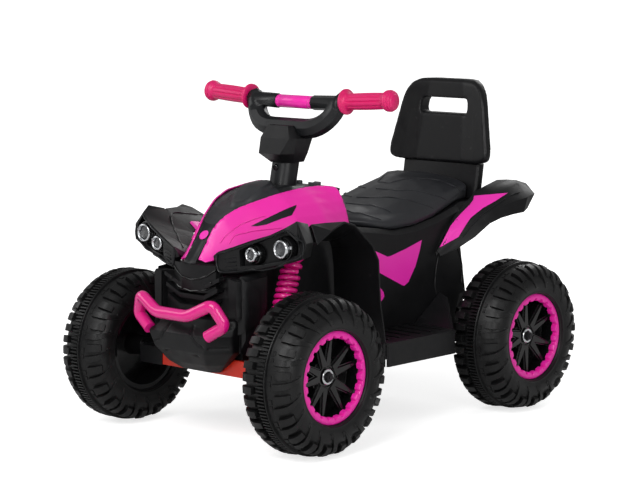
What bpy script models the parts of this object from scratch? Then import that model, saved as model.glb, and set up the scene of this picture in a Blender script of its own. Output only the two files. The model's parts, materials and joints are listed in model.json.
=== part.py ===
# Child's electric quad: a moulded plastic ride-on with a seat, a backrest and four hollow wheels.
# The origin is on the ground midway between the axles. The front is -Y, the rider's left is +X, up is +Z.
import bpy
import bmesh
from math import cos, pi, radians, sin, tan
from mathutils import Matrix, Vector

mm = 0.001

# Driving dimensions
WHEEL_RADIUS = 125 * mm
WHEEL_BASE = 494 * mm
TYRE_WIDTH = 94 * mm
TRACK_OUTSIDE = 504 * mm
RING_RADIUS = 71 * mm
LUGS = 18
SPOKES = 5
SCALLOPS = 20
GAP = 0.4 * mm
WALL = 3 * mm

KINGPIN_X = 130 * mm
CRANK = 28 * mm
STEERING_ARM = 35 * mm
COLUMN_LEAN = radians(12)
COLUMN_MARK = Vector((0, -102, 391)) * mm
SHAFT_RADIUS = 5 * mm
COLUMN_RADIUS = 21.5 * mm

FLOOR_Z = 110 * mm
FOOTBOARD_X = 200 * mm
FOOTBOARD_TOP = 150 * mm
BACKREST_LEAN = 0.16
POD_RAKE = 0.36

SPRING_TURNS = 9
SPRING_PITCH = 9.8 * mm
SPRING_RADIUS = 13.6 * mm
SPRING_WIRE = 2.9 * mm

axleZ = WHEEL_RADIUS
axleY = WHEEL_BASE / 2
wheelX = (TRACK_OUTSIDE - TYRE_WIDTH) / 2
columnAxis = Vector((0, sin(COLUMN_LEAN), cos(COLUMN_LEAN)))
backrestLean = Vector((0, BACKREST_LEAN, 1)).normalized()


def mmPoint(x, y, z):
    return Vector((x, y, z)) * mm


def inMm(points):
    return [(a * mm, b * mm) for a, b in points]


def clearScene():
    for thing in list(bpy.data.objects):
        bpy.data.objects.remove(thing, do_unlink=True)


def linear(value):
    return value / 12.92 if value <= 0.04045 else ((value + 0.055) / 1.055) ** 2.4


def material(name, colour, roughness, metallic=0.0):
    made = bpy.data.materials.new(name)
    made.use_nodes = True
    shader = made.node_tree.nodes["Principled BSDF"]
    rgb = [linear(int(colour[i:i + 2], 16) / 255) for i in (0, 2, 4)]
    shader.inputs["Base Color"].default_value = (*rgb, 1)
    shader.inputs["Roughness"].default_value = roughness
    shader.inputs["Metallic"].default_value = metallic
    made.diffuse_color = (*rgb, 1)
    return made


def place(name, data, finish, smooth=None):
    thing = bpy.data.objects.new(name, data)
    bpy.context.scene.collection.objects.link(thing)
    if finish:
        data.materials.append(finish)
    if smooth is not None:
        data.shade_smooth()
        data.set_sharp_from_angle(angle=radians(smooth))
    return thing


def fromMesh(name, bm, finish, smooth=None, side=1):
    if side < 0:
        bmesh.ops.scale(bm, vec=(-1, 1, 1), verts=bm.verts)
    bmesh.ops.recalc_face_normals(bm, faces=bm.faces)
    data = bpy.data.meshes.new(name)
    bm.to_mesh(data)
    bm.free()
    return place(name, data, finish, smooth)


# A skin through closed outlines of the same number of points, with its ends filled
def lofted(loops):
    bm = bmesh.new()
    rings = [[bm.verts.new(point) for point in loop] for loop in loops]
    for near, far in zip(rings, rings[1:]):
        for i in range(len(near)):
            j = (i + 1) % len(near)
            bm.faces.new((near[i], near[j], far[j], far[i]))
    bm.faces.new(rings[0][::-1])
    bm.faces.new(rings[-1])
    return bm


# An outline in one plane, pushed along the axis that the plane lacks
def prism(outline, axis, low, high):
    bm = bmesh.new()
    spots = {
        "X": lambda a, b: Vector((low, a, b)),
        "Y": lambda a, b: Vector((a, low, b)),
        "Z": lambda a, b: Vector((a, b, low)),
    }
    face = bm.faces.new([bm.verts.new(spots[axis](a, b)) for a, b in outline])
    grown = bmesh.ops.extrude_face_region(bm, geom=[face])["geom"]
    push = {"X": Vector((1, 0, 0)), "Y": Vector((0, 1, 0)), "Z": Vector((0, 0, 1))}[axis]
    moved = [v for v in grown if isinstance(v, bmesh.types.BMVert)]
    bmesh.ops.translate(bm, vec=push * (high - low), verts=moved)
    return bm


# A profile of (along, radius) points turned round the X axis. A ring's profile is closed.
def turned(profile, steps, closed=False):
    bm = bmesh.new()
    points = [bm.verts.new((along, 0, radius)) for along, radius in profile]
    pairs = list(zip(points, points[1:]))
    if closed:
        pairs.append((points[-1], points[0]))
    edges = [bm.edges.new(pair) for pair in pairs]
    bmesh.ops.spin(
        bm, geom=points + edges, cent=(0, 0, 0), axis=(1, 0, 0), angle=2 * pi, steps=steps, use_merge=True
    )
    bmesh.ops.remove_doubles(bm, verts=bm.verts, dist=1e-6)
    return bm


def rod(start, end, radius, sides):
    bm = bmesh.new()
    along = end - start
    turn = Vector((0, 0, 1)).rotation_difference(along).to_matrix().to_4x4()
    bmesh.ops.create_cone(
        bm, cap_ends=True, segments=sides, radius1=radius, radius2=radius, depth=along.length,
        matrix=Matrix.Translation((start + end) / 2) @ turn,
    )
    return bm


def block(low, high):
    bm = bmesh.new()
    size = [b - a for a, b in zip(low, high)]
    middle = [(a + b) / 2 for a, b in zip(low, high)]
    bmesh.ops.create_cube(bm, size=1, matrix=Matrix.Translation(middle) @ Matrix.Diagonal((*size, 1)))
    return bm


# A bevelled curve with filled ends. Each point may have its own radius.
def tube(name, points, radius, finish, resolution=2, radii=None):
    data = bpy.data.curves.new(name, "CURVE")
    data.dimensions = "3D"
    data.bevel_depth = radius
    data.bevel_resolution = resolution
    data.use_fill_caps = True
    data.twist_mode = "MINIMUM"
    line = data.splines.new("POLY")
    line.points.add(len(points) - 1)
    for i, (spot, point) in enumerate(zip(line.points, points)):
        spot.co = (*point, 1)
        spot.radius = radii[i] if radii else 1
    line.use_smooth = True
    return place(name, data, finish)


# The same tube as a mesh, for a solid that is joined to others
def tubeMesh(points, radius, resolution=2, radii=None):
    curve = tube("tube_master", points, radius, None, resolution, radii)
    bpy.context.view_layer.update()
    data = bpy.data.meshes.new_from_object(curve.evaluated_get(bpy.context.evaluated_depsgraph_get()))
    bpy.data.objects.remove(curve)
    bm = bmesh.new()
    bm.from_mesh(data)
    bmesh.ops.remove_doubles(bm, verts=bm.verts, dist=1e-6)
    return bm


# A bent line with each inner corner replaced by a short curve of the given reach
def rounded(points, reach, steps=4):
    line = [points[0]]
    for before, corner, after in zip(points, points[1:], points[2:]):
        first = corner + (before - corner).normalized() * min(reach, (before - corner).length / 2)
        last = corner + (after - corner).normalized() * min(reach, (after - corner).length / 2)
        for step in range(steps + 1):
            t = step / steps
            line.append(first * (1 - t) ** 2 + corner * 2 * t * (1 - t) + last * t ** 2)
    line.append(points[-1])
    return line


def roundedOutline(corners, radius, steps=3):
    outline = []
    for i, corner in enumerate(corners):
        before = corners[i - 1]
        after = corners[(i + 1) % len(corners)]
        first = corner + (before - corner).normalized() * radius
        last = corner + (after - corner).normalized() * radius
        for step in range(steps + 1):
            t = step / steps
            outline.append(first * (1 - t) ** 2 + corner * 2 * t * (1 - t) + last * t ** 2)
    return outline


def guide(bm, name, side=1):
    thing = fromMesh(name, bm, None, None, side)
    thing.hide_render = True
    thing.display_type = "WIRE"
    return thing


def boolean(target, tool, operation):
    step = target.modifiers.new(tool.name, "BOOLEAN")
    step.operation = operation
    step.object = tool


def cut(target, bm, name, side=1):
    boolean(target, guide(bm, target.name + "_" + name, side), "DIFFERENCE")


def join(target, bm, name, side=1):
    boolean(target, guide(bm, target.name + "_" + name, side), "UNION")


def sideName(name, side):
    return name + ("_left" if side > 0 else "_right")


def mirrored(points):
    return points + [(-x, *rest) for x, *rest in reversed(points)]


def columnPoint(z):
    return COLUMN_MARK + columnAxis * ((z - COLUMN_MARK.z) / columnAxis.z)


clearScene()
blackMatt = material("black_moulded", "1c1c1e", 0.5)
blackSatin = material("black_satin", "26272a", 0.38)
blackTyre = material("tyre_plastic", "1a1a1b", 0.6)
pinkGloss = material("pink_gloss", "ec28a5", 0.25)
pinkGrip = material("pink_grip", "e41e78", 0.5)
silver = material("silver_plated", "c9cbce", 0.25, 1)
steel = material("zinc_plated_steel", "a9abae", 0.35, 1)
orangePaint = material("orange_paint", "c8230a", 0.4)
lampClear = material("lamp_chrome", "b8bbc0", 0.15, 0.8)
greyPlastic = material("grey_moulded", "4a4b4e", 0.5)


# WHEELS: a blown tyre with two rows of lugs, a dished five-spoke rim and a scalloped trim ring

def tyreMesh():
    crown = 118.5 * mm
    # The outboard shoulder is round and the inboard one square
    profile = inMm(((40, 71.3), (47, 89), (42, 101), (36, 110), (28, 117), (16, 119.5)))
    profile += inMm(((-16, 119.5), (-36, 119.5), (-44, 111), (-46, 92), (-40, 71.3)))
    steps = 2 * LUGS
    bm = turned(profile, steps, closed=True)
    bm.faces.ensure_lookup_table()

    def inLug(face):
        middle = face.calc_center_median()
        turnAngle = Vector((middle.y, middle.z)).angle_signed(Vector((1, 0))) % (2 * pi)
        radius = Vector((middle.y, middle.z)).length
        edge = abs(middle.x) > 16 * mm and radius > 112 * mm
        return edge and int(turnAngle / (2 * pi / steps)) % 2 == 0

    lugFaces = [face for face in bm.faces if inLug(face)]
    grown = bmesh.ops.extrude_face_region(bm, geom=lugFaces)["geom"]
    bmesh.ops.delete(bm, geom=lugFaces, context="FACES")
    for vert in (item for item in grown if isinstance(item, bmesh.types.BMVert)):
        radius = Vector((vert.co.y, vert.co.z)).length
        reach = WHEEL_RADIUS if radius > crown else radius + 4 * mm
        vert.co.y *= reach / radius
        vert.co.z *= reach / radius
        if radius < 112 * mm:
            vert.co.x += 2 * mm if vert.co.x > 0 else -3 * mm
    return bm


def rimMesh():
    barrelIn = RING_RADIUS - 8 * mm
    profile = [
        (-36 * mm, RING_RADIUS), (28 * mm, RING_RADIUS), (28 * mm, barrelIn), (6 * mm, barrelIn - 1 * mm),
        (4 * mm, 16 * mm), (22 * mm, 14 * mm), (22 * mm, 6.4 * mm), (-38 * mm, 6.4 * mm), (-38 * mm, 15 * mm),
        (-2 * mm, 17 * mm), (0, barrelIn - 2 * mm), (-36 * mm, barrelIn),
    ]
    rim = fromMesh("rim_master", turned(profile, 18, closed=True), blackMatt)
    fork = ((-6, 12), (-16, 61.5), (-8.5, 61.5), (0, 27), (8.5, 61.5), (16, 61.5), (6, 12))
    for number in range(SPOKES):
        spoke = lofted([
            [mmPoint(2, y, z) for y, z in fork],
            [mmPoint(20.5 + (z - 12) * 0.07, y, z) for y, z in fork],
        ])
        bmesh.ops.rotate(
            spoke, matrix=Matrix.Rotation(2 * pi * number / SPOKES, 3, "X"), verts=spoke.verts
        )
        join(rim, spoke, f"spoke_{number}")
    bpy.context.view_layer.update()
    solid = bpy.data.meshes.new_from_object(rim.evaluated_get(bpy.context.evaluated_depsgraph_get()))
    bpy.data.objects.remove(rim)
    return solid


def ringMesh():
    back, front = 29 * mm, 39 * mm
    bm = bmesh.new()
    inner = []
    outer = []
    for i in range(2 * SCALLOPS):
        angle = 2 * pi * i / (2 * SCALLOPS)
        reach = RING_RADIUS - (11 * mm if i % 2 else 7.5 * mm)
        inner.append(bm.verts.new((back, reach * cos(angle), reach * sin(angle))))
        outer.append(bm.verts.new((back, RING_RADIUS * cos(angle), RING_RADIUS * sin(angle))))
    for i in range(len(inner)):
        j = (i + 1) % len(inner)
        bm.faces.new((inner[i], inner[j], outer[j], outer[i]))
    grown = bmesh.ops.extrude_face_region(bm, geom=bm.faces[:])["geom"]
    bmesh.ops.translate(
        bm, vec=(front - back, 0, 0), verts=[v for v in grown if isinstance(v, bmesh.types.BMVert)]
    )
    return bm


def nutMesh():
    washer, bolt = 12 * mm, 5 * mm
    seat = 22 * mm + GAP
    profile = [
        (seat, washer), (seat + 2 * mm, washer), (seat + 2 * mm, 8 * mm),
        (seat + 7 * mm, 7.5 * mm), (seat + 9 * mm, bolt), (seat + 9 * mm, 0),
    ]
    bm = turned(profile, 10)
    rim = [edge for edge in bm.edges if edge.is_boundary]
    bmesh.ops.holes_fill(bm, edges=rim)
    return bm


def sharedMesh(name, bm, finish, smooth):
    thing = fromMesh(name, bm, finish, smooth)
    data = thing.data
    bpy.data.objects.remove(thing)
    return data


def makeWheels():
    rim = rimMesh()
    rim.materials.clear()
    meshes = {
        "tyre": sharedMesh("tyre", tyreMesh(), blackTyre, 30),
        "rim": rim,
        "rim_ring": sharedMesh("rim_ring", ringMesh(), pinkGloss, 20),
        "axle_nut": sharedMesh("axle_nut", nutMesh(), silver, 30),
    }
    rim.materials.append(blackMatt)
    for end, y in (("front", -axleY), ("rear", axleY)):
        for side in (1, -1):
            hub = bpy.data.objects.new(sideName(f"hub_{end}", side), None)
            hub.location = (side * wheelX, y, axleZ)
            hub.rotation_euler = (0, 0, 0 if side > 0 else pi)
            bpy.context.scene.collection.objects.link(hub)
            for piece, mesh in meshes.items():
                thing = bpy.data.objects.new(sideName(f"{piece}_{end}", side), mesh)
                thing.parent = hub
                bpy.context.scene.collection.objects.link(thing)


# STEERING: knuckles in a pressed beam, a tie rod, a cranked shaft in the column and the bars

def makeBeam():
    low, high = 109 * mm, 135 * mm
    back, front = -228 * mm, -283 * mm
    reach = 142 * mm
    section = [
        (front, low), (back, low), (back, low + WALL), (front + WALL, low + WALL),
        (front + WALL, high - WALL), (back, high - WALL), (back, high), (front, high),
    ]
    beam = fromMesh("front_axle_beam", prism(section, "X", -reach, reach), orangePaint)
    for side in (1, -1):
        pin = Vector((side * KINGPIN_X, -axleY, 0))
        up = Vector((0, 0, 1))
        hole = rod(pin + up * 100 * mm, pin + up * 145 * mm, 4.6 * mm, 16)
        cut(beam, hole, sideName("kingpin_hole", side))


def makeKnuckle(side):
    pin = Vector((KINGPIN_X, -axleY, 0))
    up = Vector((0, 0, 1))
    arm = pin + Vector((0, STEERING_ARM, 0))
    bm = rod(pin + up * 112.6 * mm, pin + up * 131.4 * mm, 10 * mm, 16)
    knuckle = fromMesh(sideName("knuckle", side), bm, steel, 35, side)
    parts = {
        "trunnion": rod(pin + up * 106 * mm, pin + up * 138 * mm, 4 * mm, 12),
        "stub_axle": rod(pin + up * axleZ, Vector((wheelX + 21.8 * mm, -axleY, axleZ)), 5.8 * mm, 12),
        "arm": block((KINGPIN_X - 6 * mm, -axleY, 122 * mm), (KINGPIN_X + 6 * mm, arm.y + 6 * mm, 127 * mm)),
        "arm_pin": rod(arm + up * 112 * mm, arm + up * 124 * mm, 2.5 * mm, 10),
    }
    for name, tool in parts.items():
        join(knuckle, tool, name, side)


def slot(x, y):
    wide, deep = 3.4 * mm, 6 * mm
    return block((x - wide, y - deep, 100 * mm), (x + wide, y + deep, 130 * mm))


# The crank points rearward like the arms of the knuckles, so all three swing the same way
def shaftFoot():
    bottom = columnPoint(136 * mm)
    rearward = Vector((0, columnAxis.z, -columnAxis.y))
    return bottom, bottom + rearward * CRANK


CRANK_PIN = 15 * mm


def crankPinY(z):
    _, crankEnd = shaftFoot()
    return crankEnd.y - (crankEnd.z - z) * tan(COLUMN_LEAN)


def makeTieRod():
    y = -axleY + STEERING_ARM
    low, high = 117 * mm, 121 * mm
    middleSlot = crankPinY((low + high) / 2)
    outline = mirrored([
        (KINGPIN_X + 8 * mm, y - 7 * mm), (KINGPIN_X + 8 * mm, y + 8 * mm), (14 * mm, y + 8 * mm),
        (9 * mm, middleSlot + 10 * mm),
    ])
    bar = fromMesh("tie_rod", prism(outline, "Z", low, high), steel)
    for x, at in ((-KINGPIN_X, y), (KINGPIN_X, y), (0, middleSlot)):
        cut(bar, slot(x, at), f"slot_{round(x / mm)}")


def makeShaft():
    bottom, crankEnd = shaftFoot()
    path = rounded([columnPoint(444 * mm), bottom, crankEnd], 8 * mm, 3)
    shaft = fromMesh("steering_shaft", tubeMesh(path, SHAFT_RADIUS), steel, 35)
    pin = rod(crankEnd + columnAxis * 4 * mm, crankEnd - columnAxis * CRANK_PIN, 2.5 * mm, 10)
    join(shaft, pin, "crank_pin")


def makeColumn():
    low, high = columnPoint(350 * mm), columnPoint(448 * mm)
    column = fromMesh("steering_column", rod(low, high, COLUMN_RADIUS, 24), blackSatin, 35)
    cut(column, rod(low - columnAxis * mm, high + columnAxis * mm, SHAFT_RADIUS + GAP, 12), "shaft_bore")


def barPath():
    left = [mmPoint(56, -86, 479), mmPoint(82, -75, 499), mmPoint(90, -67, 523), mmPoint(200, -64.6, 529.6)]
    right = [Vector((-p.x, p.y, p.z)) for p in reversed(left)]
    return right + left


def makeHandlebar():
    corners = barPath()
    path = rounded(corners, 22 * mm, 4)
    grip = 98 * mm

    def thickness(point):
        return 9.6 / 16 if abs(point.x) > grip else 1

    gripStart = mmPoint(97, -67, 523.4)
    gripNeck = mmPoint(98.6, -66.9, 523.5)
    path = path[:1] + [Vector((-gripNeck.x, *gripNeck[1:])), Vector((-gripStart.x, *gripStart[1:]))] + [
        point for point in path[1:-1] if abs(point.x) < 93 * mm
    ] + [gripStart, gripNeck] + path[-1:]
    tubed = tubeMesh(path, 16 * mm, 2, [thickness(point) for point in path])
    bar = fromMesh("handlebar", tubed, blackSatin, 35)
    crossSpots = (-88, -38.6, -38.4, 38.4, 38.6, 88)
    crossPath = [mmPoint(x, -70.5 + abs(x) * 0.02, 518.5 + abs(x) * 0.03) for x in crossSpots]
    join(bar, tubeMesh(crossPath, 12 * mm, 2, [1, 1, 0.62, 0.62, 1, 1]), "crossbar")
    sleeve = turned([
        (-38 * mm, 7.8 * mm), (-38 * mm, 10.6 * mm), (38 * mm, 10.6 * mm), (38 * mm, 7.8 * mm),
    ], 16, closed=True)
    bmesh.ops.translate(sleeve, vec=mmPoint(0, -69.7, 519.65), verts=sleeve.verts)
    fromMesh("crossbar_sleeve", sleeve, pinkGloss, 35)


def makeGrip(side):
    start, end = mmPoint(102.6, -66.7, 523.8), mmPoint(204.5, -64.5, 529.9)
    length = (end - start).length
    profile = [
        (98 * mm, 0), (98 * mm, 10.4 * mm), (0, 10.4 * mm), (0, 19 * mm), (2 * mm, 20.5 * mm),
        (5 * mm, 19 * mm), (7 * mm, 12.6 * mm), (length - 22 * mm, 12.6 * mm),
        (length - 16 * mm, 14.6 * mm), (length - 6 * mm, 17.2 * mm), (length - 1 * mm, 14 * mm), (length, 0),
    ]
    bm = turned(profile, 12)
    turn = Vector((1, 0, 0)).rotation_difference(end - start).to_matrix().to_4x4()
    bmesh.ops.transform(bm, matrix=Matrix.Translation(start) @ turn, verts=bm.verts)
    fromMesh(sideName("grip", side), bm, pinkGrip, 30, side)


def makeCowl():
    rows = (
        (484, 22, -113, 24, -104, 21, -76), (464, 31, -121, 37, -106, 32, -66),
        (440, 23, -134, 34, -112, 29, -74), (425, 12, -117, 26, -105, 24, -78),
    )
    loops = []
    for z, frontHalf, front, sideHalf, middle, backHalf, back in rows:
        loops.append([
            mmPoint(*xy, z) for xy in mirrored([(frontHalf, front), (sideHalf, middle), (backHalf, back)])
        ])
    cowl = fromMesh("bar_clamp_cowl", lofted(loops[::-1]), blackMatt, 25)
    cut(cowl, tubeMesh(rounded(barPath(), 22 * mm), 16.6 * mm), "bar_bore")
    cut(cowl, rod(columnPoint(400 * mm), columnPoint(450 * mm), COLUMN_RADIUS + GAP, 24), "column_socket")


# BODY: floor pan, main shell, seat, backrest, fenders, hood, pods and front

bodyRows = (
    # y, half-widths at the foot, waist and shoulder, then foot, waist, shoulder and top heights
    (-278, 80, 85, 80, 135.4, 190, 240, 262), (-215, 86, 92, 86, 135.4, 190, 262, 285),
    (-179, 88, 95, 90, 135.4, 190, 270, 300), (-174, 88, 95, 90, 118.4, 190, 270, 302),
    (-95, 92, 98, 94, 118.4, 190, 280, 316), (-40, 94, 99, 95, 118.4, 190, 290, 322),
    (-10, 95, 99, 94, 118.4, 190, 290, 318),
    (20, 95, 100, 93, 118.4, 190, 290, 314), (70, 96, 101, 93, 118.4, 190, 290, 306),
    (120, 96, 103, 94, 118.4, 190, 290, 308), (175, 97, 107, 95, 118.4, 190, 292, 318),
    (208, 97, 110, 97, 118.4, 188, 262, 328), (214, 97, 110, 97, 150, 188, 262, 330),
    (230, 97, 110, 97, 150, 188, 262, 334),
)
tailRows = (
    (226, 88, 90, 88, 268, 280, 300, 331), (246, 90, 94, 93, 288, 298, 312, 338),
    (330, 84, 90, 92, 302, 309, 318, 338),
)


def bodyLoop(row, inset, footDrop):
    y, foot, waist, shoulder, footZ, waistZ, shoulderZ, topZ = row
    footZ -= footDrop
    return [mmPoint(x, y, z) for x, z in mirrored([
        (foot - inset, footZ), (waist - inset, waistZ), (shoulder + 2 - inset, shoulderZ),
        (shoulder - inset, topZ - 8 - inset), (shoulder - 9 - inset, topZ - inset),
    ])]


def bodyTop(y):
    spots = [(row[0], row[7]) for row in bodyRows + tailRows[1:]]
    for (y0, z0), (y1, z1) in zip(spots, spots[1:]):
        if y0 <= y <= y1:
            return z0 + (z1 - z0) * (y - y0) / (y1 - y0)
    return spots[-1][1]


def makeBody():
    shell = fromMesh("body_shell", lofted([bodyLoop(row, 0, 0) for row in bodyRows]), blackMatt, 30)
    inner = [list(row) for row in bodyRows]
    inner[0][0] += 3
    inner[-1][0] -= 3
    cut(shell, lofted([bodyLoop(row, 3, 20) for row in inner]), "hollow")
    join(shell, lofted([bodyLoop(row, 0, 0) for row in tailRows]), "tail")
    cut(shell, block(mmPoint(-80, 236, 270), mmPoint(80, 326, 333)), "tail_hollow")
    bearing = rod(columnPoint(290 * mm), columnPoint(350 * mm), SHAFT_RADIUS + 0.8 * mm, 12)
    cut(shell, bearing, "shaft_bearing")
    panel = inMm(((-74, 316), (74, 316), (77, 350), (71, 383), (-71, 383), (-77, 350)))
    riser = prism(panel, "Y", -49.6 * mm, -46 * mm)
    join(shell, riser, "dash_riser")
    socket = mmPoint(-50, 320, 319)
    cut(shell, rod(socket, socket + mmPoint(0, 20, 0), 8 * mm, 16), "socket_hole")


motorEnd = mmPoint(-42, 228, 124)
treadSpots = (-50, -24, 2, 28, 54, 80)
pedalSide = (-176, -120)
pedalHinge = mmPoint(-148, 42, 156)
PEDAL_PIN = 1.3 * mm


def makeFloor():
    low, deck = FLOOR_Z, FOOTBOARD_TOP
    pan = fromMesh("floor_pan", block(mmPoint(-94, -174, 110), mmPoint(94, 206, 118)), blackMatt)
    join(pan, block(mmPoint(-90, 196, 112), mmPoint(90, 290, 149.6)), "axle_carrier")
    for side in (1, -1):
        inner, outer = sorted((side * 79, side * 90))
        join(pan, block(mmPoint(inner, 212, 104), mmPoint(outer, 282, 130)), sideName("bearing_cheek", side))
    cut(pan, block(mmPoint(-78, 206.5, 100), mmPoint(78, 270, 146)), "motor_bay")
    cut(pan, block(mmPoint(-30, -190, 100), mmPoint(30, -112, 130)), "tie_rod_notch")
    reach = Vector((120 * mm, 0, 0))
    middle = Vector((0, axleY, axleZ))
    cut(pan, rod(middle - reach, middle + reach, 6.2 * mm, 16), "axle_bore")
    cut(pan, rod(motorEnd, motorEnd + mmPoint(-80, 0, 0), 17.6 * mm, 16), "motor_hole")
    for side in (1, -1):
        inner, outer = sorted((side * 85, side * 112))
        join(pan, block(mmPoint(inner, -78, 110.5), mmPoint(outer, 101, 117.6)), sideName("web", side))
        plan = [(104.5, -79), (193, -79), (200, -72), (200, 92), (188, 102), (104.5, 102)]
        join(pan, prism(inMm(plan), "Z", 112 * mm, deck), sideName("footboard", side), side)
        for column, (inner, outer) in enumerate(((114, 151), (153.5, 197))):
            for row, (front, back) in enumerate(((-76, -20), (-17.5, 38.5), (41, 90))):
                pocket = block(mmPoint(inner, front, 100), mmPoint(outer, back, deck / mm - 3))
                cut(pan, pocket, sideName(f"pocket_{column}_{row}", side), side)
        kickFront = ((105, 99, 147), (192, 99, 147), (130, 158, 189), (111, 161, 196))
        kickBack = ((105, 101.7, 144), (186, 101.7, 144), (128, 161, 186), (111, 165, 193))
        kick = lofted([[mmPoint(*spot) for spot in face] for face in (kickFront, kickBack)])
        join(pan, kick, sideName("kick_panel", side), side)
        for y in treadSpots if side > 0 else treadSpots[:2] + treadSpots[4:]:
            tread = block(mmPoint(111, y, 149), mmPoint(179, y + 4, 151.6))
            join(pan, tread, sideName(f"tread_{y + 50}", side), side)
    for x in (pedalSide[0] - 4.6, pedalSide[1] + 0.6):
        join(pan, block(mmPoint(x, 37, 149), mmPoint(x + 4, 47, 161)), f"pedal_lug_{round(-x)}")
    hinge = Vector((0, pedalHinge.y, pedalHinge.z))
    ends = [hinge + mmPoint(x, 0, 0) for x in (pedalSide[0] - 3, pedalSide[1] + 3)]
    join(pan, rod(*ends, PEDAL_PIN, 10), "pedal_pin")


seatRows = (
    # y, half-width, edge height above the shell, crown height
    (-40, 24, 7, 342), (-10, 52, 8, 345), (20, 74, 9, 346), (45, 84, 9, 348), (70, 88, 9, 355),
    (120, 89, 9, 369), (175, 88, 9, 382), (214, 84, 9, 386), (246, 80, 12, 385), (284, 70, 24, 376),
)


def makeSeat():
    loops = []
    for y, half, lift, crown in seatRows:
        base = bodyTop(y) + 0.5
        edge = base + lift
        across = (1, 0.93, 0.72, 0.4)
        top = [(half * u, edge + (crown - edge) * (1 - u ** 2.4) ** 0.62) for u in across]
        over = [(0, crown)] + [(-x, z) for x, z in reversed(top)]
        loop = [(half - 3, base)] + top + over + [(-half + 3, base)]
        loops.append([mmPoint(x, y, z) for x, z in loop])
    fromMesh("seat", lofted(loops), blackSatin, 40)


def leaned(x, z, depth):
    return mmPoint(x, 305 + (z - 398) * BACKREST_LEAN + depth, z)


def makeBackrest():
    # share of the half-width, bottom and top heights, and how far the side is folded forward
    stations = ((0, 399, 541, 0), (0.45, 399, 541, 0), (0.72, 399, 540, 0.45), (0.87, 401, 534, 0.8),
                (0.95, 405, 524, 0.95), (1, 417, 507, 1))
    stations = [(-share, *rest) for share, *rest in reversed(stations[1:])] + list(stations)
    loops = []
    for share, low, high, fold in stations:
        edge = 3 if abs(share) == 1 else 0
        front, back = -16 - 8 * fold + edge, 12 - 19 * fold - edge
        loop = (
            (low, front + 3), (low + 4, front), (high - 5, front), (high, front + 4),
            (high, back - 4), (high - 5, back), (low + 4, back), (low, back - 3),
        )
        loops.append([leaned(share * (113 - (z - 399) * 0.217), z, depth) for z, depth in loop])
    rest = fromMesh("backrest", lofted(loops), blackMatt, 40)
    hole = roundedOutline([Vector(c) for c in ((-53, 482), (53, 482), (50, 508), (-50, 508))], 8, 2)
    cut(rest, lofted([[leaned(p.x, p.y, d) for p in hole] for d in (-40, 40)]), "hand_slot")


def makeBracket():
    loops = []
    for z in (339, 398.4):
        outline = roundedOutline([Vector(c) for c in ((-85, -10), (85, -10), (85, 10), (-85, 10))], 9, 3)
        loops.append([leaned(p.x, z, p.y) for p in outline])
    fromMesh("backrest_bracket", lofted(loops), blackMatt, 30)


# A shell from an open grid of points, given its wall by a Solidify inwards
def shell(name, rows, finish, side, smooth=30, wall=WALL, inward=True):
    bm = bmesh.new()
    grid = [[bm.verts.new(mmPoint(*point)) for point in row] for row in rows]
    for near, far in zip(grid, grid[1:]):
        for i in range(len(near) - 1):
            bm.faces.new((near[i], near[i + 1], far[i + 1], far[i]))
    thing = fromMesh(name, bm, finish, smooth, side)
    step = thing.modifiers.new("wall", "SOLIDIFY")
    step.thickness = wall
    step.offset = -1 if inward else 1
    step.use_even_offset = True
    return thing


def makeFrontFender(side):
    rows = [
        [(114, -206, 309), (140, -207, 331), (160, -209, 347), (179, -216, 318)],
        [(112, -180, 313), (140, -180, 330), (162, -181, 347), (180, -183, 337)],
        [(112, -144, 313), (140, -145, 327), (162, -148, 342), (179, -153, 348)],
        [(111, -114, 311), (140, -116, 319), (163, -120, 330), (180, -130, 341)],
        [(104, -99, 298), (140, -101, 302), (168, -103, 305), (197, -107, 308)],
        [(103, -93, 270), (140, -94, 276), (170, -95, 280), (200, -96, 284)],
        [(102, -89, 214), (140, -90, 214), (170, -90, 214), (200, -91, 214)],
        [(101, -82, 176), (140, -82, 176), (170, -82, 176), (200, -83, 176)],
        [(99, -78, 151.5), (140, -78, 151.5), (170, -78, 151.5), (199, -78, 151.5)],
    ]
    shell(sideName("front_fender", side), rows, blackMatt, side)


def makeRearFender(side):
    rows = [
        [(101.5, 160, 256), (101.5, 160, 263), (104, 160, 264),
         (107, 160, 263), (111, 160, 260), (113, 160, 256)],
        [(101.5, 190, 292), (101.5, 190, 300), (107, 190, 300),
         (113, 190, 296), (121, 190, 282), (126, 190, 268)],
        [(101.5, 215, 312), (101.5, 215, 323), (112, 215, 322),
         (123, 215, 314), (135, 215, 300), (142, 215, 286)],
        [(101.5, 240, 328), (101.5, 240, 339), (115, 240, 338),
         (131, 240, 332), (147, 240, 320), (154, 240, 308)],
        [(101.5, 265, 338), (101.5, 265, 356), (118, 265, 354),
         (137, 265, 346), (156, 262, 332), (165, 257, 317)],
        [(101.5, 290, 339), (101.5, 290, 363), (120, 290, 364),
         (142, 290, 358), (165, 287, 341), (171, 282, 321)],
        [(101.5, 325, 339), (100.5, 325, 371), (122, 325, 373),
         (146, 325, 369), (170, 322, 346), (172, 309, 322)],
        [(101.5, 350, 341), (100.5, 352, 369), (122, 352, 370),
         (143, 352, 366), (166, 347, 350), (165, 328, 326)],
        [(101.5, 366, 349), (103, 368, 361), (122, 370, 362),
         (138, 368, 358), (153, 358, 352), (152, 342, 338)],
    ]
    shell(sideName("rear_fender", side), rows, blackMatt, side)


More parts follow.
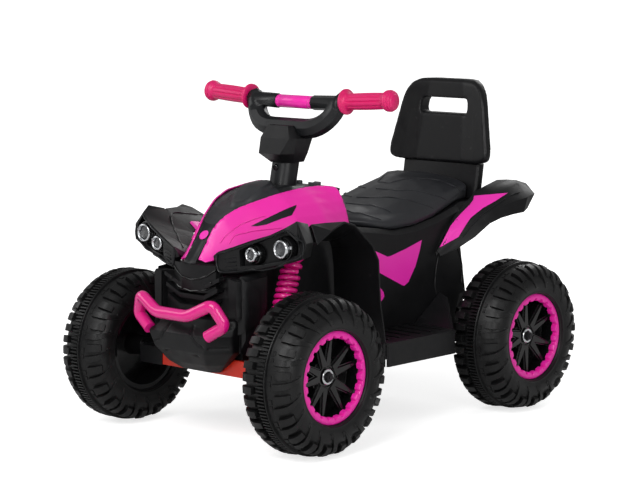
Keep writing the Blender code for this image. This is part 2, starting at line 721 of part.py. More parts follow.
crest = (
    (15, -309, 288), (15, -291, 314), (16, -274, 338), (21, -261, 351), (30, -238, 364),
    (42, -214, 373), (55, -173, 384), (60, -120, 390), (68, -84, 391), (80, -60, 388),
)
hoodFoot = (
    (26, -306, 286), (36, -290, 289), (46, -275, 291), (60, -254, 297), (74, -228, 305),
    (88, -203, 314), (104, -170, 321), (110, -112, 320), (101, -76, 322), (94, -46, 326),
)
hoodBulge = (0, 0, 0, 0, 1, 3, 8, 9, 7, 4)


def makeHood(side):
    rows = []
    for inner, outer, bulge in zip(crest, hoodFoot, hoodBulge):
        across = Vector(outer) - Vector(inner)
        out = Vector((-across.z, 0, across.x)).normalized()
        row = []
        for t in (0, 0.2, 0.42, 0.66, 0.86, 1):
            row.append(Vector(inner) + across * t + out * bulge * sin(pi * t) ** 0.8)
        rows.append(row)
    shell(sideName("hood", side), rows, pinkGloss, side, 35, 2.6 * mm)


def makeSpine():
    # y, half-width, edge height, and heights at three places from side to middle
    rows = (
        (-313, 12.6, 284, 284, 284, 283), (-300, 12.6, 300, 298, 298, 297), (-285, 12.8, 320, 317, 317, 316),
        (-268, 15.5, 341, 338, 337, 336), (-250, 22.5, 354, 350, 348, 347), (-226, 33.5, 365, 360, 358, 357),
        (-205, 43, 372, 367, 366, 366), (-178, 51, 379, 373, 384, 388), (-150, 55, 384, 378, 389, 392),
        (-120, 57.6, 386, 382, 390, 392), (-84, 65, 387, 387, 388, 389), (-50, 76, 384, 386, 386, 386),
    )
    loops = []
    for y, half, edge, outerZ, innerZ, middleZ in rows:
        top = [(half, edge), (half * 0.8, outerZ), (half * 0.55, innerZ), (0, middleZ)]
        top = top + [(-x, z) for x, z in reversed(top[:-1])]
        bottom = [(x, z - 3) for x, z in reversed(top)]
        loops.append([mmPoint(x, y, z) for x, z in top + bottom])
    spine = fromMesh("hood_spine", lofted(loops), blackSatin, 30)
    cut(spine, rod(columnPoint(360 * mm), columnPoint(410 * mm), COLUMN_RADIUS + 1.2 * mm, 16), "column_hole")
    for x in (-34, 0):
        spot = mmPoint(x, -64, 387)
        hole = rod(spot - mmPoint(0, 0, 20), spot + mmPoint(0, 0, 20), 6.6 * mm, 12)
        cut(spine, hole, f"button_hole_{x + 34}")
    cut(spine, block(mmPoint(26.4, -73.6, 370), mmPoint(41.6, -54.4, 400)), "switch_hole")


# The pod's ridge over the lamps, the line where its inner panel meets the hood, and its lower edges
podRidge = (
    (40, -300, 297), (50, -299, 304), (78, -291, 314), (104, -284, 324), (134, -273, 334),
    (156, -262, 346), (163, -244, 355),
)
podInner = (
    (38, -297, 288), (41.5, -288, 288), (50, -272, 290.5), (64, -250.5, 296.5), (78, -225, 305),
    (92, -212, 313), (158, -214, 348),
)
podLow = (
    (188, -250, 323), (184, -254, 299), (150, -262, 288), (124, -268, 281), (80, -287, 272),
    (50, -298, 269), (47, -299, 284),
)
podBack = (
    (178, -223, 322), (172, -223, 300), (120, -224, 294), (100, -238, 289), (70, -262, 281),
    (50, -282, 277), (47, -286, 284),
)


def podY(x):
    return -302 + (x - 50) * POD_RAKE


def makePod(side):
    front = [mmPoint(*spot) for spot in podRidge + podLow]
    back = [mmPoint(*spot) for spot in podInner + podBack]
    pod = fromMesh(sideName("headlight_pod", side), lofted([front, back]), blackMatt, 25, side)
    pocket = (
        (84, 283), (84, 308), (104, 318), (134, 333), (158, 340), (176, 324), (174, 305), (150, 295),
        (122, 288),
    )
    tool = lofted([[mmPoint(x, podY(x) + back, z) for x, z in pocket] for back in (-12, 15)])
    cut(pod, tool, "pocket", side)


def makeLamp(name, spot, radius, side):
    depth = 15 * mm + podY(spot.x / mm) * mm - spot.y - POD_RAKE * radius - GAP
    profile = [
        (-depth, 0), (-depth, radius - 1.5 * mm), (-2 * mm, radius), (0, radius - mm), (0, radius - 2.6 * mm),
        (-5 * mm, radius - 3.6 * mm), (-5 * mm, 0),
    ]
    bm = turned(profile, 12)
    turn = Matrix.Rotation(-pi / 2, 4, "Z")
    bmesh.ops.transform(bm, matrix=Matrix.Translation(spot) @ turn, verts=bm.verts)
    fromMesh(sideName(name, side), bm, lampClear, 30, side)


def makeFascia():
    plan = inMm(mirrored([(70, -292), (72, -299), (91, -298), (97, -240), (93, -240), (88, -283)]))
    front = fromMesh("front_fascia", prism(plan, "Z", 201 * mm, 264 * mm), blackMatt)
    head = inMm(mirrored([(45.3, -287), (45.3, -300), (20, -309)]))
    join(front, prism(head, "Z", 238.6 * mm, 281 * mm), "grille_head")
    for i, z in enumerate((257, 240, 223)):
        wide = 60 - 4 * i
        upper = [(-wide, z + 8), (-26, z - 6), (26, z - 6), (wide, z + 8)]
        lower = [(wide, z + 2), (26, z - 13), (-26, z - 13), (-wide, z + 2)]
        join(front, prism(inMm(upper + lower), "Y", -308 * mm, -285 * mm), f"slat_{i}")
    # x, y and z of each cheek's root and of its raised face
    root = ((89.6, -293, 268), (94.6, -242, 272), (94.6, -242, 215), (91.6, -272, 152), (89.6, -293, 152))
    raised = ((97, -288, 260), (101, -246, 264), (101, -246, 218), (98, -272, 170), (97, -288, 170))
    wall = inMm(((88.8, -294), (91.4, -294), (96.2, -242), (93.6, -242)))
    for side in (1, -1):
        cheek = lofted([[mmPoint(*spot) for spot in face] for face in (root, raised)])
        join(front, cheek, sideName("cheek", side), side)
        join(front, prism(wall, "Z", 150 * mm, 236 * mm), sideName("side_wall", side), side)


def bumperPath():
    left = [mmPoint(34, -350, 208), mmPoint(78, -341, 229), mmPoint(95, -330, 197), mmPoint(63, -337, 178)]
    right = [Vector((-p.x, p.y, p.z)) for p in reversed(left)]
    return rounded(right + left, 12 * mm, 2)


def makeChin():
    rows = ((113, 28, -299, 40, -290), (128, 42, -319, 60, -297), (150, 54, -335, 84, -301),
            (176, 64, -339, 88, -306), (190, 48, -328, 88, -302), (200, 42, -316, 86, -300))
    loops = []
    for z, frontHalf, front, sideHalf, middle in rows:
        plan = mirrored([(frontHalf, front), (sideHalf, middle), (sideHalf, -284)])
        loops.append([mmPoint(*xy, z) for xy in plan])
    chin = fromMesh("lower_bumper", lofted(loops), blackMatt, 25)
    cut(chin, tubeMesh(bumperPath(), 9 * mm), "bar_sockets")


def makeBumperBar():
    tube("bumper_bar", bumperPath(), 8.5 * mm, pinkGloss, 2)


# SHOCKS: each is a coil round a damper body, from the beam up to an arm under the fender

shockLow, shockHigh = mmPoint(114, -249, 138.5), mmPoint(114, -204, 276)


def makeShock(side):
    along = (shockHigh - shockLow).normalized()
    coilLow = shockHigh - along * (SPRING_TURNS * SPRING_PITCH + 2 * SPRING_WIRE)
    across = Vector((1, 0, 0))
    other = along.cross(across)
    points = []
    stepsPerTurn = 8
    for i in range(SPRING_TURNS * stepsPerTurn + 1):
        angle = 2 * pi * i / stepsPerTurn
        rise = SPRING_WIRE + SPRING_PITCH * i / stepsPerTurn
        points.append(coilLow + along * rise + (across * cos(angle) + other * sin(angle)) * SPRING_RADIUS)
    leadIn = (points[0] - points[1]).normalized() * 2 * SPRING_WIRE
    leadOut = (points[-1] - points[-2]).normalized() * 2 * SPRING_WIRE
    points = [points[0] + leadIn] + points + [points[-1] + leadOut]
    if side < 0:
        points = [Vector((-p.x, p.y, p.z)) for p in points]
    tube(sideName("shock_spring", side), points, SPRING_WIRE, pinkGloss, 1)
    least = min(
        (a - b).length for i, a in enumerate(points) for b in points[i + stepsPerTurn // 2:]
    ) - 2 * SPRING_WIRE
    print(f"{sideName('shock_spring', side)}: least gap to itself {least / mm:.2f} mm")
    core = SPRING_RADIUS - SPRING_WIRE - 2 * GAP
    length = (shockHigh - shockLow).length
    coilStart = (coilLow - shockLow).length
    profile = [
        (0, 0), (0, 6 * mm), (coilStart - 4 * mm, 6 * mm), (coilStart - 4 * mm, 17 * mm),
        (coilStart - 1.6 * mm, 17 * mm), (coilStart - 1.6 * mm, core), (length + 6 * mm, core),
        (length + 12 * mm, 6 * mm), (length + 12 * mm, 0),
    ]
    bm = turned(profile, 12)
    turn = Vector((1, 0, 0)).rotation_difference(along).to_matrix().to_4x4()
    bmesh.ops.transform(bm, matrix=Matrix.Translation(shockLow) @ turn, verts=bm.verts)
    body = fromMesh(sideName("shock_body", side), bm, pinkGloss, 30, side)
    arm = ((116, -203, 283), (128, -196, 290), (134, -191, 300), (134, -188, 308))
    armPath = rounded([mmPoint(*spot) for spot in arm], 5 * mm, 2)
    join(body, tubeMesh(armPath, 4.5 * mm, 1), "arm", side)


# DRIVE: rear axle, gearbox with its motor, battery and charging socket

def makeDrive():
    reach = Vector((wheelX + 21.8 * mm, 0, 0))
    middle = Vector((0, axleY, axleZ))
    fromMesh("rear_axle", rod(middle - reach, middle + reach, 5.8 * mm, 16), steel, 35)
    gear = block(mmPoint(-140, 217, 100), mmPoint(-98, 285, 148))
    bmesh.ops.bevel(
        gear, geom=gear.edges[:], offset=7 * mm, segments=1, affect="EDGES", profile=0.5, material=-1
    )
    box = fromMesh("motor_gearbox", gear, greyPlastic, 30)
    join(box, rod(motorEnd, motorEnd + mmPoint(-60, 0, 0), 17 * mm, 16), "motor_can")
    cut(box, rod(middle - reach, middle + reach, 6.3 * mm, 16), "axle_bore")
    fromMesh("battery", block(mmPoint(-35, 70, 118.6), mmPoint(35, 118, 219)), greyPlastic)
    socket = turned([
        (0, 0), (0, 7.4 * mm), (8.4 * mm, 7.4 * mm), (8.4 * mm, 11 * mm), (11 * mm, 10 * mm),
        (11 * mm, 5 * mm), (4 * mm, 5 * mm), (4 * mm, 0),
    ], 12)
    turn = Matrix.Translation(mmPoint(-50, 322, 319)) @ Matrix.Rotation(pi / 2, 4, "Z")
    bmesh.ops.transform(socket, matrix=turn, verts=socket.verts)
    fromMesh("charging_socket", socket, blackSatin, 30)


# CONTROLS: the accelerator pedal, two buttons and the direction rocker

def makeControls():
    side = ((-22, 161), (-22, 164.5), (36, 161), (45, 160), (45, 152), (38, 152))
    outline = [(y * mm, z * mm) for y, z in side]
    left, right = (x * mm for x in pedalSide)
    pedal = fromMesh("accelerator_pedal", prism(outline, "X", left, right), greyPlastic)
    pivot = Vector((30 * mm, 0, 0))
    cut(pedal, rod(pedalHinge - pivot, pedalHinge + pivot, PEDAL_PIN + GAP, 10), "pin_bore")
    for name, x in (("power_button", -34), ("sound_button", 0)):
        bm = turned([(-9 * mm, 0), (-9 * mm, 6 * mm), (3 * mm, 6 * mm), (4 * mm, 5 * mm), (4 * mm, 0)], 12)
        turn = Matrix.Translation(mmPoint(x, -64, 388.6)) @ Matrix.Rotation(-pi / 2, 4, "Y")
        bmesh.ops.transform(bm, matrix=turn, verts=bm.verts)
        fromMesh(name, bm, greyPlastic, 35)
    rocker = ((-72, 392.5), (-64, 390), (-56, 392.5), (-56, 383), (-60, 379), (-68, 379), (-72, 383))
    outline = [(y * mm, z * mm) for y, z in rocker]
    fromMesh("direction_switch", prism(outline, "X", 27 * mm, 41 * mm), greyPlastic)


makeWheels()
makeBeam()
makeTieRod()
makeShaft()
makeColumn()
makeHandlebar()
makeCowl()
makeBody()
makeFloor()
makeSeat()
makeBackrest()
makeBracket()
makeSpine()
makeFascia()
makeChin()
makeBumperBar()
makeDrive()
makeControls()
for side in (1, -1):
    makeKnuckle(side)
    makeGrip(side)
    makeFrontFender(side)
    makeRearFender(side)
    makeHood(side)
    makePod(side)
    makeLamp("headlamp_outer", mmPoint(150, -268, 313), 15 * mm, side)
    makeLamp("headlamp_inner", mmPoint(103, -284, 302), 12 * mm, side)
    makeShock(side)
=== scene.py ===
import bpy
import bmesh
import json
from math import pi, radians, sin, cos, exp
from mathutils import Vector, Matrix
from mathutils.bvhtree import BVHTree


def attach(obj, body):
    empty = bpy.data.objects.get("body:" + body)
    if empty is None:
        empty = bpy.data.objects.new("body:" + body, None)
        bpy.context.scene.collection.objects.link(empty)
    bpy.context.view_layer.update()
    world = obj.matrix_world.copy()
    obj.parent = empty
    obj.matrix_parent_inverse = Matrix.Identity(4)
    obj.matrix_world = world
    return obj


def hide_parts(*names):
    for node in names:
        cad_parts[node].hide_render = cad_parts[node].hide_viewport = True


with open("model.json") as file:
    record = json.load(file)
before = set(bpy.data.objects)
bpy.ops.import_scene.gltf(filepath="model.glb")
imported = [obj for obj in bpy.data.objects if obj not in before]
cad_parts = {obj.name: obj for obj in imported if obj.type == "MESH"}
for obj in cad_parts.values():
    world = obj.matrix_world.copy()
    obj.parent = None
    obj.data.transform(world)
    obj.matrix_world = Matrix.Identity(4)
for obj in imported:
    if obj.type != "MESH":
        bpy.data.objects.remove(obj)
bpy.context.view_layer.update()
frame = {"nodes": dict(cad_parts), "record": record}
nodes = frame["nodes"]
bodyOf = {node: body for body, held in frame["record"]["behaviour"]["bodies"].items() for node in held}
mm = 0.001
print("frame loaded:", len(nodes), "nodes")


# Materials

def hexColour(text):
    channels = [int(text[i:i + 2], 16) / 255 for i in (0, 2, 4)]
    return (*(c / 12.92 if c <= 0.04045 else ((c + 0.055) / 1.055) ** 2.4 for c in channels), 1)


def addNode(tree, kind, settings=None, inputs=None):
    node = tree.nodes.new(kind)
    for key, value in (settings or {}).items():
        setattr(node, key, value)
    for key, value in (inputs or {}).items():
        if isinstance(value, bpy.types.NodeSocket):
            tree.links.new(value, node.inputs[key])
        else:
            node.inputs[key].default_value = value
    return node


def moulded(name, look):
    finish = bpy.data.materials.new(name)
    finish.use_nodes = True
    tree = finish.node_tree
    shader = tree.nodes["Principled BSDF"]
    shader.inputs["Roughness"].default_value = look["rough"]
    shader.inputs["Metallic"].default_value = look.get("metal", 0)
    shader.inputs["IOR"].default_value = 1.5 if look.get("metal") else 1.49
    shader.inputs["Specular IOR Level"].default_value = look.get("specular", 0.5)
    shader.inputs["Coat Weight"].default_value = look.get("coat", 0)
    shader.inputs["Coat Roughness"].default_value = look.get("coatRough", 0.1)
    place = addNode(tree, "ShaderNodeTexCoord").outputs["Object"]
    # slow drift of colour, as pigment and handling leave it
    drift = addNode(tree, "ShaderNodeTexNoise", inputs={
        "Vector": place, "Scale": look.get("drift", 16), "Detail": 3,
    })
    tint = addNode(tree, "ShaderNodeMix", {"data_type": "RGBA"}, {
        0: drift.outputs[0], 6: hexColour(look["colour"]), 7: hexColour(look["shade"]),
    }).outputs[2]
    # small scuffs, paler than the ground
    if look.get("scuff"):
        scratch = addNode(tree, "ShaderNodeMapping", inputs={
            "Vector": place, "Scale": (40, 260, 40), "Rotation": (0.4, 0.3, 0.6),
        })
        marks = addNode(tree, "ShaderNodeTexNoise", inputs={"Vector": scratch.outputs[0], "Scale": 1.6, "Detail": 4})
        mask = addNode(tree, "ShaderNodeMapRange", inputs={
            "Value": marks.outputs[0], "From Min": 0.66, "From Max": 0.78, "To Min": 0, "To Max": look["scuff"],
        })
        tint = addNode(tree, "ShaderNodeMix", {"data_type": "RGBA"}, {
            0: mask.outputs[0], 6: tint, 7: hexColour(look.get("scuffColour", "8a8a8c")),
        }).outputs[2]
    tree.links.new(tint, shader.inputs["Base Color"])
    # gloss that varies as handling leaves it
    hazeNoise = addNode(tree, "ShaderNodeTexNoise", inputs={
        "Vector": place, "Scale": look.get("haze", 55), "Detail": 4,
    })
    gloss = addNode(tree, "ShaderNodeMapRange", inputs={
        "Value": hazeNoise.outputs[0], "From Min": 0.3, "From Max": 0.7,
        "To Min": look["rough"] - look["spread"], "To Max": look["rough"] + look["spread"],
    })
    tree.links.new(gloss.outputs[0], shader.inputs["Roughness"])
    # grain from the mould, and a slower waviness from the wall cooling
    grain = addNode(tree, "ShaderNodeTexNoise", inputs={
        "Vector": place, "Scale": 1 / (look["grain"] * mm), "Detail": 2,
    })
    wave = addNode(tree, "ShaderNodeTexNoise", inputs={"Vector": place, "Scale": 34, "Detail": 1})
    slow = addNode(tree, "ShaderNodeBump", inputs={
        "Strength": look.get("wave", 0.05), "Distance": 0.002, "Height": wave.outputs[0],
    })
    fine = addNode(tree, "ShaderNodeBump", inputs={
        "Strength": look["bump"], "Distance": 0.0003, "Height": grain.outputs[0], "Normal": slow.outputs[0],
    })
    tree.links.new(fine.outputs[0], shader.inputs["Normal"])
    return finish


# polypropylene, injection moulded with a fine spark-eroded grain: near black, soft sheen
blackMoulded = moulded("blackPolypropyleneGrained", {
    "colour": "0b0b0c", "shade": "131315", "rough": 0.4, "spread": 0.07, "grain": 1.1, "bump": 0.16,
    "scuff": 0.05, "specular": 0.26,
})
# the same plastic from a smoother mould: a clearer, slightly lighter sheen
blackSatin = moulded("blackPolypropyleneSatin", {
    "colour": "101113", "shade": "18191b", "rough": 0.34, "spread": 0.06, "grain": 2.2, "bump": 0.06, "specular": 0.3,
})
# blow moulded polyethylene of the tyres: waxy, with flow haze
blackTyre = moulded("blackPolyethyleneBlown", {
    "colour": "0b0b0b", "shade": "141415", "rough": 0.4, "spread": 0.1, "grain": 2.5, "bump": 0.1, "wave": 0.12,
    "scuff": 0.08, "specular": 0.3,
})
# glossy ABS moulded in magenta
pinkGloss = moulded("magentaAbsPolished", {
    "colour": "ea1ea0", "shade": "f02bab", "rough": 0.32, "spread": 0.03, "grain": 5, "bump": 0.01, "coat": 0.1,
    "coatRough": 0.06, "wave": 0.02, "haze": 20,
})
# enamelled steel of the coils and the bumper bar: a redder pink under a wet-looking coat
pinkEnamel = moulded("deepPinkEnamelledSteel", {
    "colour": "d8107a", "shade": "e21a8a", "rough": 0.22, "spread": 0.05, "grain": 4, "bump": 0.03, "coat": 0.5,
    "coatRough": 0.05, "wave": 0.03,
})
# thicker grained skin of the seat, greyer where light rakes it
seatSkin = moulded("greyBlackPolyethyleneSeat", {
    "colour": "1b1c1f", "shade": "2b2c30", "rough": 0.4, "spread": 0.06, "grain": 1.3, "bump": 0.14, "specular": 0.5,
})
# glossy black of lamp pockets and rims
blackGloss = moulded("blackAbsPolished", {
    "colour": "0a0a0b", "shade": "101011", "rough": 0.22, "spread": 0.05, "grain": 3, "bump": 0.03, "specular": 0.4,
    "coat": 0.15, "wave": 0.05,
})
# grey plastic of the covers, unpolished
greyMoulded = moulded("greyAbsMatt", {
    "colour": "3c3d40", "shade": "48494c", "rough": 0.5, "spread": 0.06, "grain": 1.6, "bump": 0.1,
})
# thermoplastic rubber of the grips: deeper rose, matt
pinkGrip = moulded("roseThermoplasticRubber", {
    "colour": "d0105e", "shade": "dc186c", "rough": 0.42, "spread": 0.07, "grain": 1.5, "bump": 0.14,
})
# plain vinyl film stuck on: even magenta with a thin clear coat
pinkFilm = moulded("magentaVinylFilm", {
    "colour": "ef25b0", "shade": "f22fb6", "rough": 0.34, "spread": 0.02, "grain": 6, "bump": 0.005, "coat": 0.2,
    "wave": 0,
})
# plated ABS of lamp rings and axle washers: bright with a faint orange peel
platedSilver = moulded("chromePlatedAbs", {
    "colour": "c4c6c9", "shade": "d6d8da", "rough": 0.22, "spread": 0.06, "metal": 1, "grain": 2, "bump": 0.05,
})
# zinc plated mild steel: grey and slightly mottled
zincSteel = moulded("zincPlatedSteel", {
    "colour": "8f9194", "shade": "a9abae", "rough": 0.36, "spread": 0.09, "metal": 1, "grain": 1.5, "bump": 0.08,
    "drift": 60,
})
# powder coated steel beam: orange-red with the coat's orange peel
orangeCoat = moulded("orangePowderCoatedSteel", {
    "colour": "b91c06", "shade": "cf2a0c", "rough": 0.36, "spread": 0.06, "grain": 1.8, "bump": 0.2, "scuff": 0.12,
    "scuffColour": "5a1206",
})
# smoked polycarbonate lens with moulded ribs behind a gloss face
smokedLens = moulded("smokedPolycarbonateLens", {
    "colour": "3a3b3d", "shade": "4a4b4e", "rough": 0.25, "spread": 0.05, "grain": 3, "bump": 0.02, "coat": 0.6,
})
print("materials made")


# Mesh helpers

def spunMesh(profile, steps, closed=False):
    # profile of (along, radius) in mm, spun about X
    bm = bmesh.new()
    verts = [bm.verts.new((along * mm, 0, radius * mm)) for along, radius in profile]
    edges = [bm.edges.new(pair) for pair in zip(verts, verts[1:])]
    if closed:
        edges.append(bm.edges.new((verts[-1], verts[0])))
    bmesh.ops.spin(bm, geom=verts + edges, cent=(0, 0, 0), axis=(1, 0, 0), angle=2 * pi, steps=steps, use_merge=True)
    bmesh.ops.remove_doubles(bm, verts=bm.verts, dist=1e-6)
    bmesh.ops.recalc_face_normals(bm, faces=bm.faces)
    return bm


def cadCopy(name):
    bm = bmesh.new()
    bm.from_mesh(nodes[name].data)
    bmesh.ops.remove_doubles(bm, verts=bm.verts, dist=2e-5)
    bmesh.ops.dissolve_limit(bm, angle_limit=radians(0.6), verts=bm.verts, edges=bm.edges)
    return bm


def tubeMesh(points, radius, resolution=4):
    line = bpy.data.curves.new("path", "CURVE")
    line.dimensions = "3D"
    line.bevel_depth = radius
    line.bevel_resolution = resolution
    line.use_fill_caps = True
    spline = line.splines.new("POLY")
    spline.points.add(len(points) - 1)
    for i, point in enumerate(points):
        spline.points[i].co = (*point, 1)
    thing = bpy.data.objects.new("path", line)
    data = bpy.data.meshes.new_from_object(thing)
    bm = bmesh.new()
    bm.from_mesh(data)
    bmesh.ops.remove_doubles(bm, verts=bm.verts, dist=1e-6)
    bpy.data.objects.remove(thing)
    bpy.data.curves.remove(line)
    bpy.data.meshes.remove(data)
    return bm


def curved(points, steps):
    # Catmull-Rom through the given points
    points = [Vector(p) for p in points]
    ends = [2 * points[0] - points[1]] + points + [2 * points[-1] - points[-2]]
    line = []
    for a, b, c, d in zip(ends, ends[1:], ends[2:], ends[3:]):
        for i in range(steps):
            t = i / steps
            bend = (2 * a - 5 * b + 4 * c - d) * t ** 2 + (3 * b - a - 3 * c + d) * t ** 3
            line.append(0.5 * (2 * b + (c - a) * t + bend))
    return line + [points[-1]]


def rounded(points, reach, steps=6):
    points = [Vector(p) for p in points]
    line = [points[0]]
    for before, corner, after in zip(points, points[1:], points[2:]):
        start = corner + (before - corner).normalized() * min(reach, (before - corner).length * 0.48)
        end = corner + (after - corner).normalized() * min(reach, (after - corner).length * 0.48)
        for i in range(steps + 1):
            t = i / steps
            line.append(start * (1 - t) ** 2 + corner * 2 * t * (1 - t) + end * t ** 2)
    return line + [points[-1]]


def mirrorMesh(bm):
    bmesh.ops.scale(bm, vec=(-1, 1, 1), verts=bm.verts)
    bmesh.ops.reverse_faces(bm, faces=bm.faces)


def addMesh(bm, other):
    data = bpy.data.meshes.new("part")
    other.to_mesh(data)
    other.free()
    bm.from_mesh(data)
    bpy.data.meshes.remove(data)


def finishPiece(name, bm, finish, body, replaced=(), smooth=35, bevel=0, segments=2):
    data = bpy.data.meshes.new(name)
    bm.to_mesh(data)
    bm.free()
    data.materials.append(finish)
    data.shade_smooth()
    data.set_sharp_from_angle(angle=radians(smooth))
    piece = bpy.data.objects.new(name, data)
    bpy.context.scene.collection.objects.link(piece)
    if bevel:
        step = piece.modifiers.new("edges", "BEVEL")
        step.width = bevel * mm
        step.segments = segments
        step.limit_method = "ANGLE"
        step.angle_limit = radians(30)
        step.harden_normals = True
    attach(piece, body)
    if replaced:
        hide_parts(*replaced)
    return piece


def dress(name, finish, bevel=1, segments=2, smooth=35):
    # the CAD solid with its sheared moulding edges rounded
    return finishPiece(name + "_moulding", cadCopy(name), finish, bodyOf[name], (name,), bevel=bevel,
                       segments=segments, smooth=smooth)


def surfaceOf(things):
    bm = bmesh.new()
    for thing in things if isinstance(things, (list, tuple)) else (things,):
        bm.from_mesh(thing.data)
    tree = BVHTree.FromBMesh(bm)
    bm.free()
    return tree


# mm: size of the cells a film is cut into, where its rays start, and how far a point may move
film = {"cell": 4, "start": 50, "stray": 30, "find": 5}


def layFilm(name, outline, surface, finish, lift=0.5, heading=(-0.61, 0.78, -0.12), both=True, thick=0):
    # a film cut to an outline in mm, pressed along its heading onto a surface, then laid on the other side too
    tree = surfaceOf(surface)
    heading = Vector(heading).normalized()
    bm = bmesh.new()
    bm.faces.new([bm.verts.new(Vector(p) * mm) for p in outline])
    for axis in (0, 1, 2):
        span = [v.co[axis] for v in bm.verts]
        normal = Vector((0, 0, 0))
        normal[axis] = 1
        for i in range(1, int((max(span) - min(span)) / (film["cell"] * mm)) + 1):
            spot = Vector((0, 0, 0))
            spot[axis] = min(span) + i * film["cell"] * mm
            bmesh.ops.bisect_plane(bm, geom=bm.verts[:] + bm.edges[:] + bm.faces[:], plane_co=spot, plane_no=normal)
    for vert in bm.verts:
        spot, normal, _, _ = tree.ray_cast(vert.co - heading * film["start"] * mm, heading)
        if spot is None or (spot - vert.co).length > film["stray"] * mm:
            spot, normal, _, _ = tree.find_nearest(vert.co)
        vert.co = spot + normal * lift * mm
    bm.normal_update()
    if sum(f.normal.dot(heading) * f.calc_area() for f in bm.faces) > 0:
        bmesh.ops.reverse_faces(bm, faces=bm.faces)
    films = {name + ("_left" if both else ""): bm}
    if both:
        # the right side's facets run another way, so its film is pressed on again where the surface reaches there
        other = films[name + "_right"] = bm.copy()
        mirrorMesh(other)
        turned = Vector((-heading.x, heading.y, heading.z))
        for vert in other.verts:
            spot, normal, _, _ = tree.ray_cast(vert.co - turned * film["find"] * mm, turned, 2 * film["find"] * mm)
            if spot is not None:
                vert.co = spot + normal * lift * mm
    for piece, form in films.items():
        if thick:
            bmesh.ops.solidify(form, geom=form.faces[:], thickness=thick * mm)
            bmesh.ops.recalc_face_normals(form, faces=form.faces)
        finishPiece(piece, form, finish, "chassis", smooth=45)


# Wheels: blown tyre, dished rim, scalloped trim ring, washer and nut

# mm: where the wheels' middles are, and how far each is turned at rest, in degrees
wheels = {
    "across": 205, "along": 247, "height": 125,
    "turns": {"front_left": 9, "front_right": 31, "rear_left": 20, "rear_right": 2},
}
# outline of the carcass as (along the axle, radius), counts of ribs and lugs, and the skirt at a lug's foot
tyre = {
    "carcass": (
        (38.5, 71.6), (40.2, 73.2), (42.6, 73.6), (43.4, 75), (43.2, 76.6), (44.2, 79), (45.4, 88), (44.2, 95),
        (40.8, 101.6), (35.4, 107.4), (28, 112), (18, 116), (9.6, 118.2), (8.8, 122.6), (7.2, 123.2), (6.2, 117.4),
        (-9.5, 117), (-11, 116.4), (-31, 115.6), (-38, 112), (-42.4, 105), (-44.4, 96), (-44.8, 87), (-43, 77.5),
        (-40, 71.6),
    ),
    "bars": 136, "pitches": 20, "skirt": 0.7, "root": -2, "belly": 95,
}
# the right-hand tyres show their block side outwards, and it is narrower and lower there
tuck = {"start": 14, "run": 22, "foot": 84, "rise": 14, "drop": 4.5, "shift": 3.2}


def fromCarcass(points, heights, widths, sweep):
    # one tread lug that follows the carcass: a strip lifted square to it, laid at the top of the wheel
    bm = bmesh.new()
    rows = []
    for i, (along, radius) in enumerate(points):
        before, after = points[max(i - 1, 0)], points[min(i + 1, len(points) - 1)]
        run = Vector((after[0] - before[0], after[1] - before[1])).normalized()
        out = Vector((-run.y, run.x))
        if out.dot(Vector((along, radius - tyre["belly"]))) < 0:
            out = -out
        row = []
        half = widths[i] / 2
        foot = half + tyre["skirt"]
        for offset, lift in ((-foot, tyre["root"]), (-half, heights[i]), (half, heights[i]), (foot, tyre["root"])):
            angle = (offset + sweep[i]) / radius
            reach = radius + out.y * lift
            place = Vector((along + out.x * lift, sin(angle) * reach, cos(angle) * reach)) * mm
            row.append(bm.verts.new(place))
        rows.append([bm.edges.new(pair) for pair in zip(row, row[1:])] + [bm.edges.new((row[-1], row[0]))])
    for near, far in zip(rows, rows[1:]):
        bmesh.ops.bridge_loops(bm, edges=near + far)
    for row in (rows[0], rows[-1]):
        bmesh.ops.edgeloop_fill(bm, edges=row)
    bmesh.ops.recalc_face_normals(bm, faces=bm.faces)
    return bm


def ringOf(bm, count, turn=0):
    # copies of a lug round the wheel's axis
    bmesh.ops.rotate(bm, cent=(0, 0, 0), matrix=Matrix.Rotation(turn, 3, "X"), verts=bm.verts)
    bmesh.ops.spin(bm, geom=bm.verts[:] + bm.edges[:] + bm.faces[:], cent=(0, 0, 0), axis=(1, 0, 0),
                   angle=2 * pi * (count - 1) / count, steps=count - 1, use_duplicate=True)
    return bm


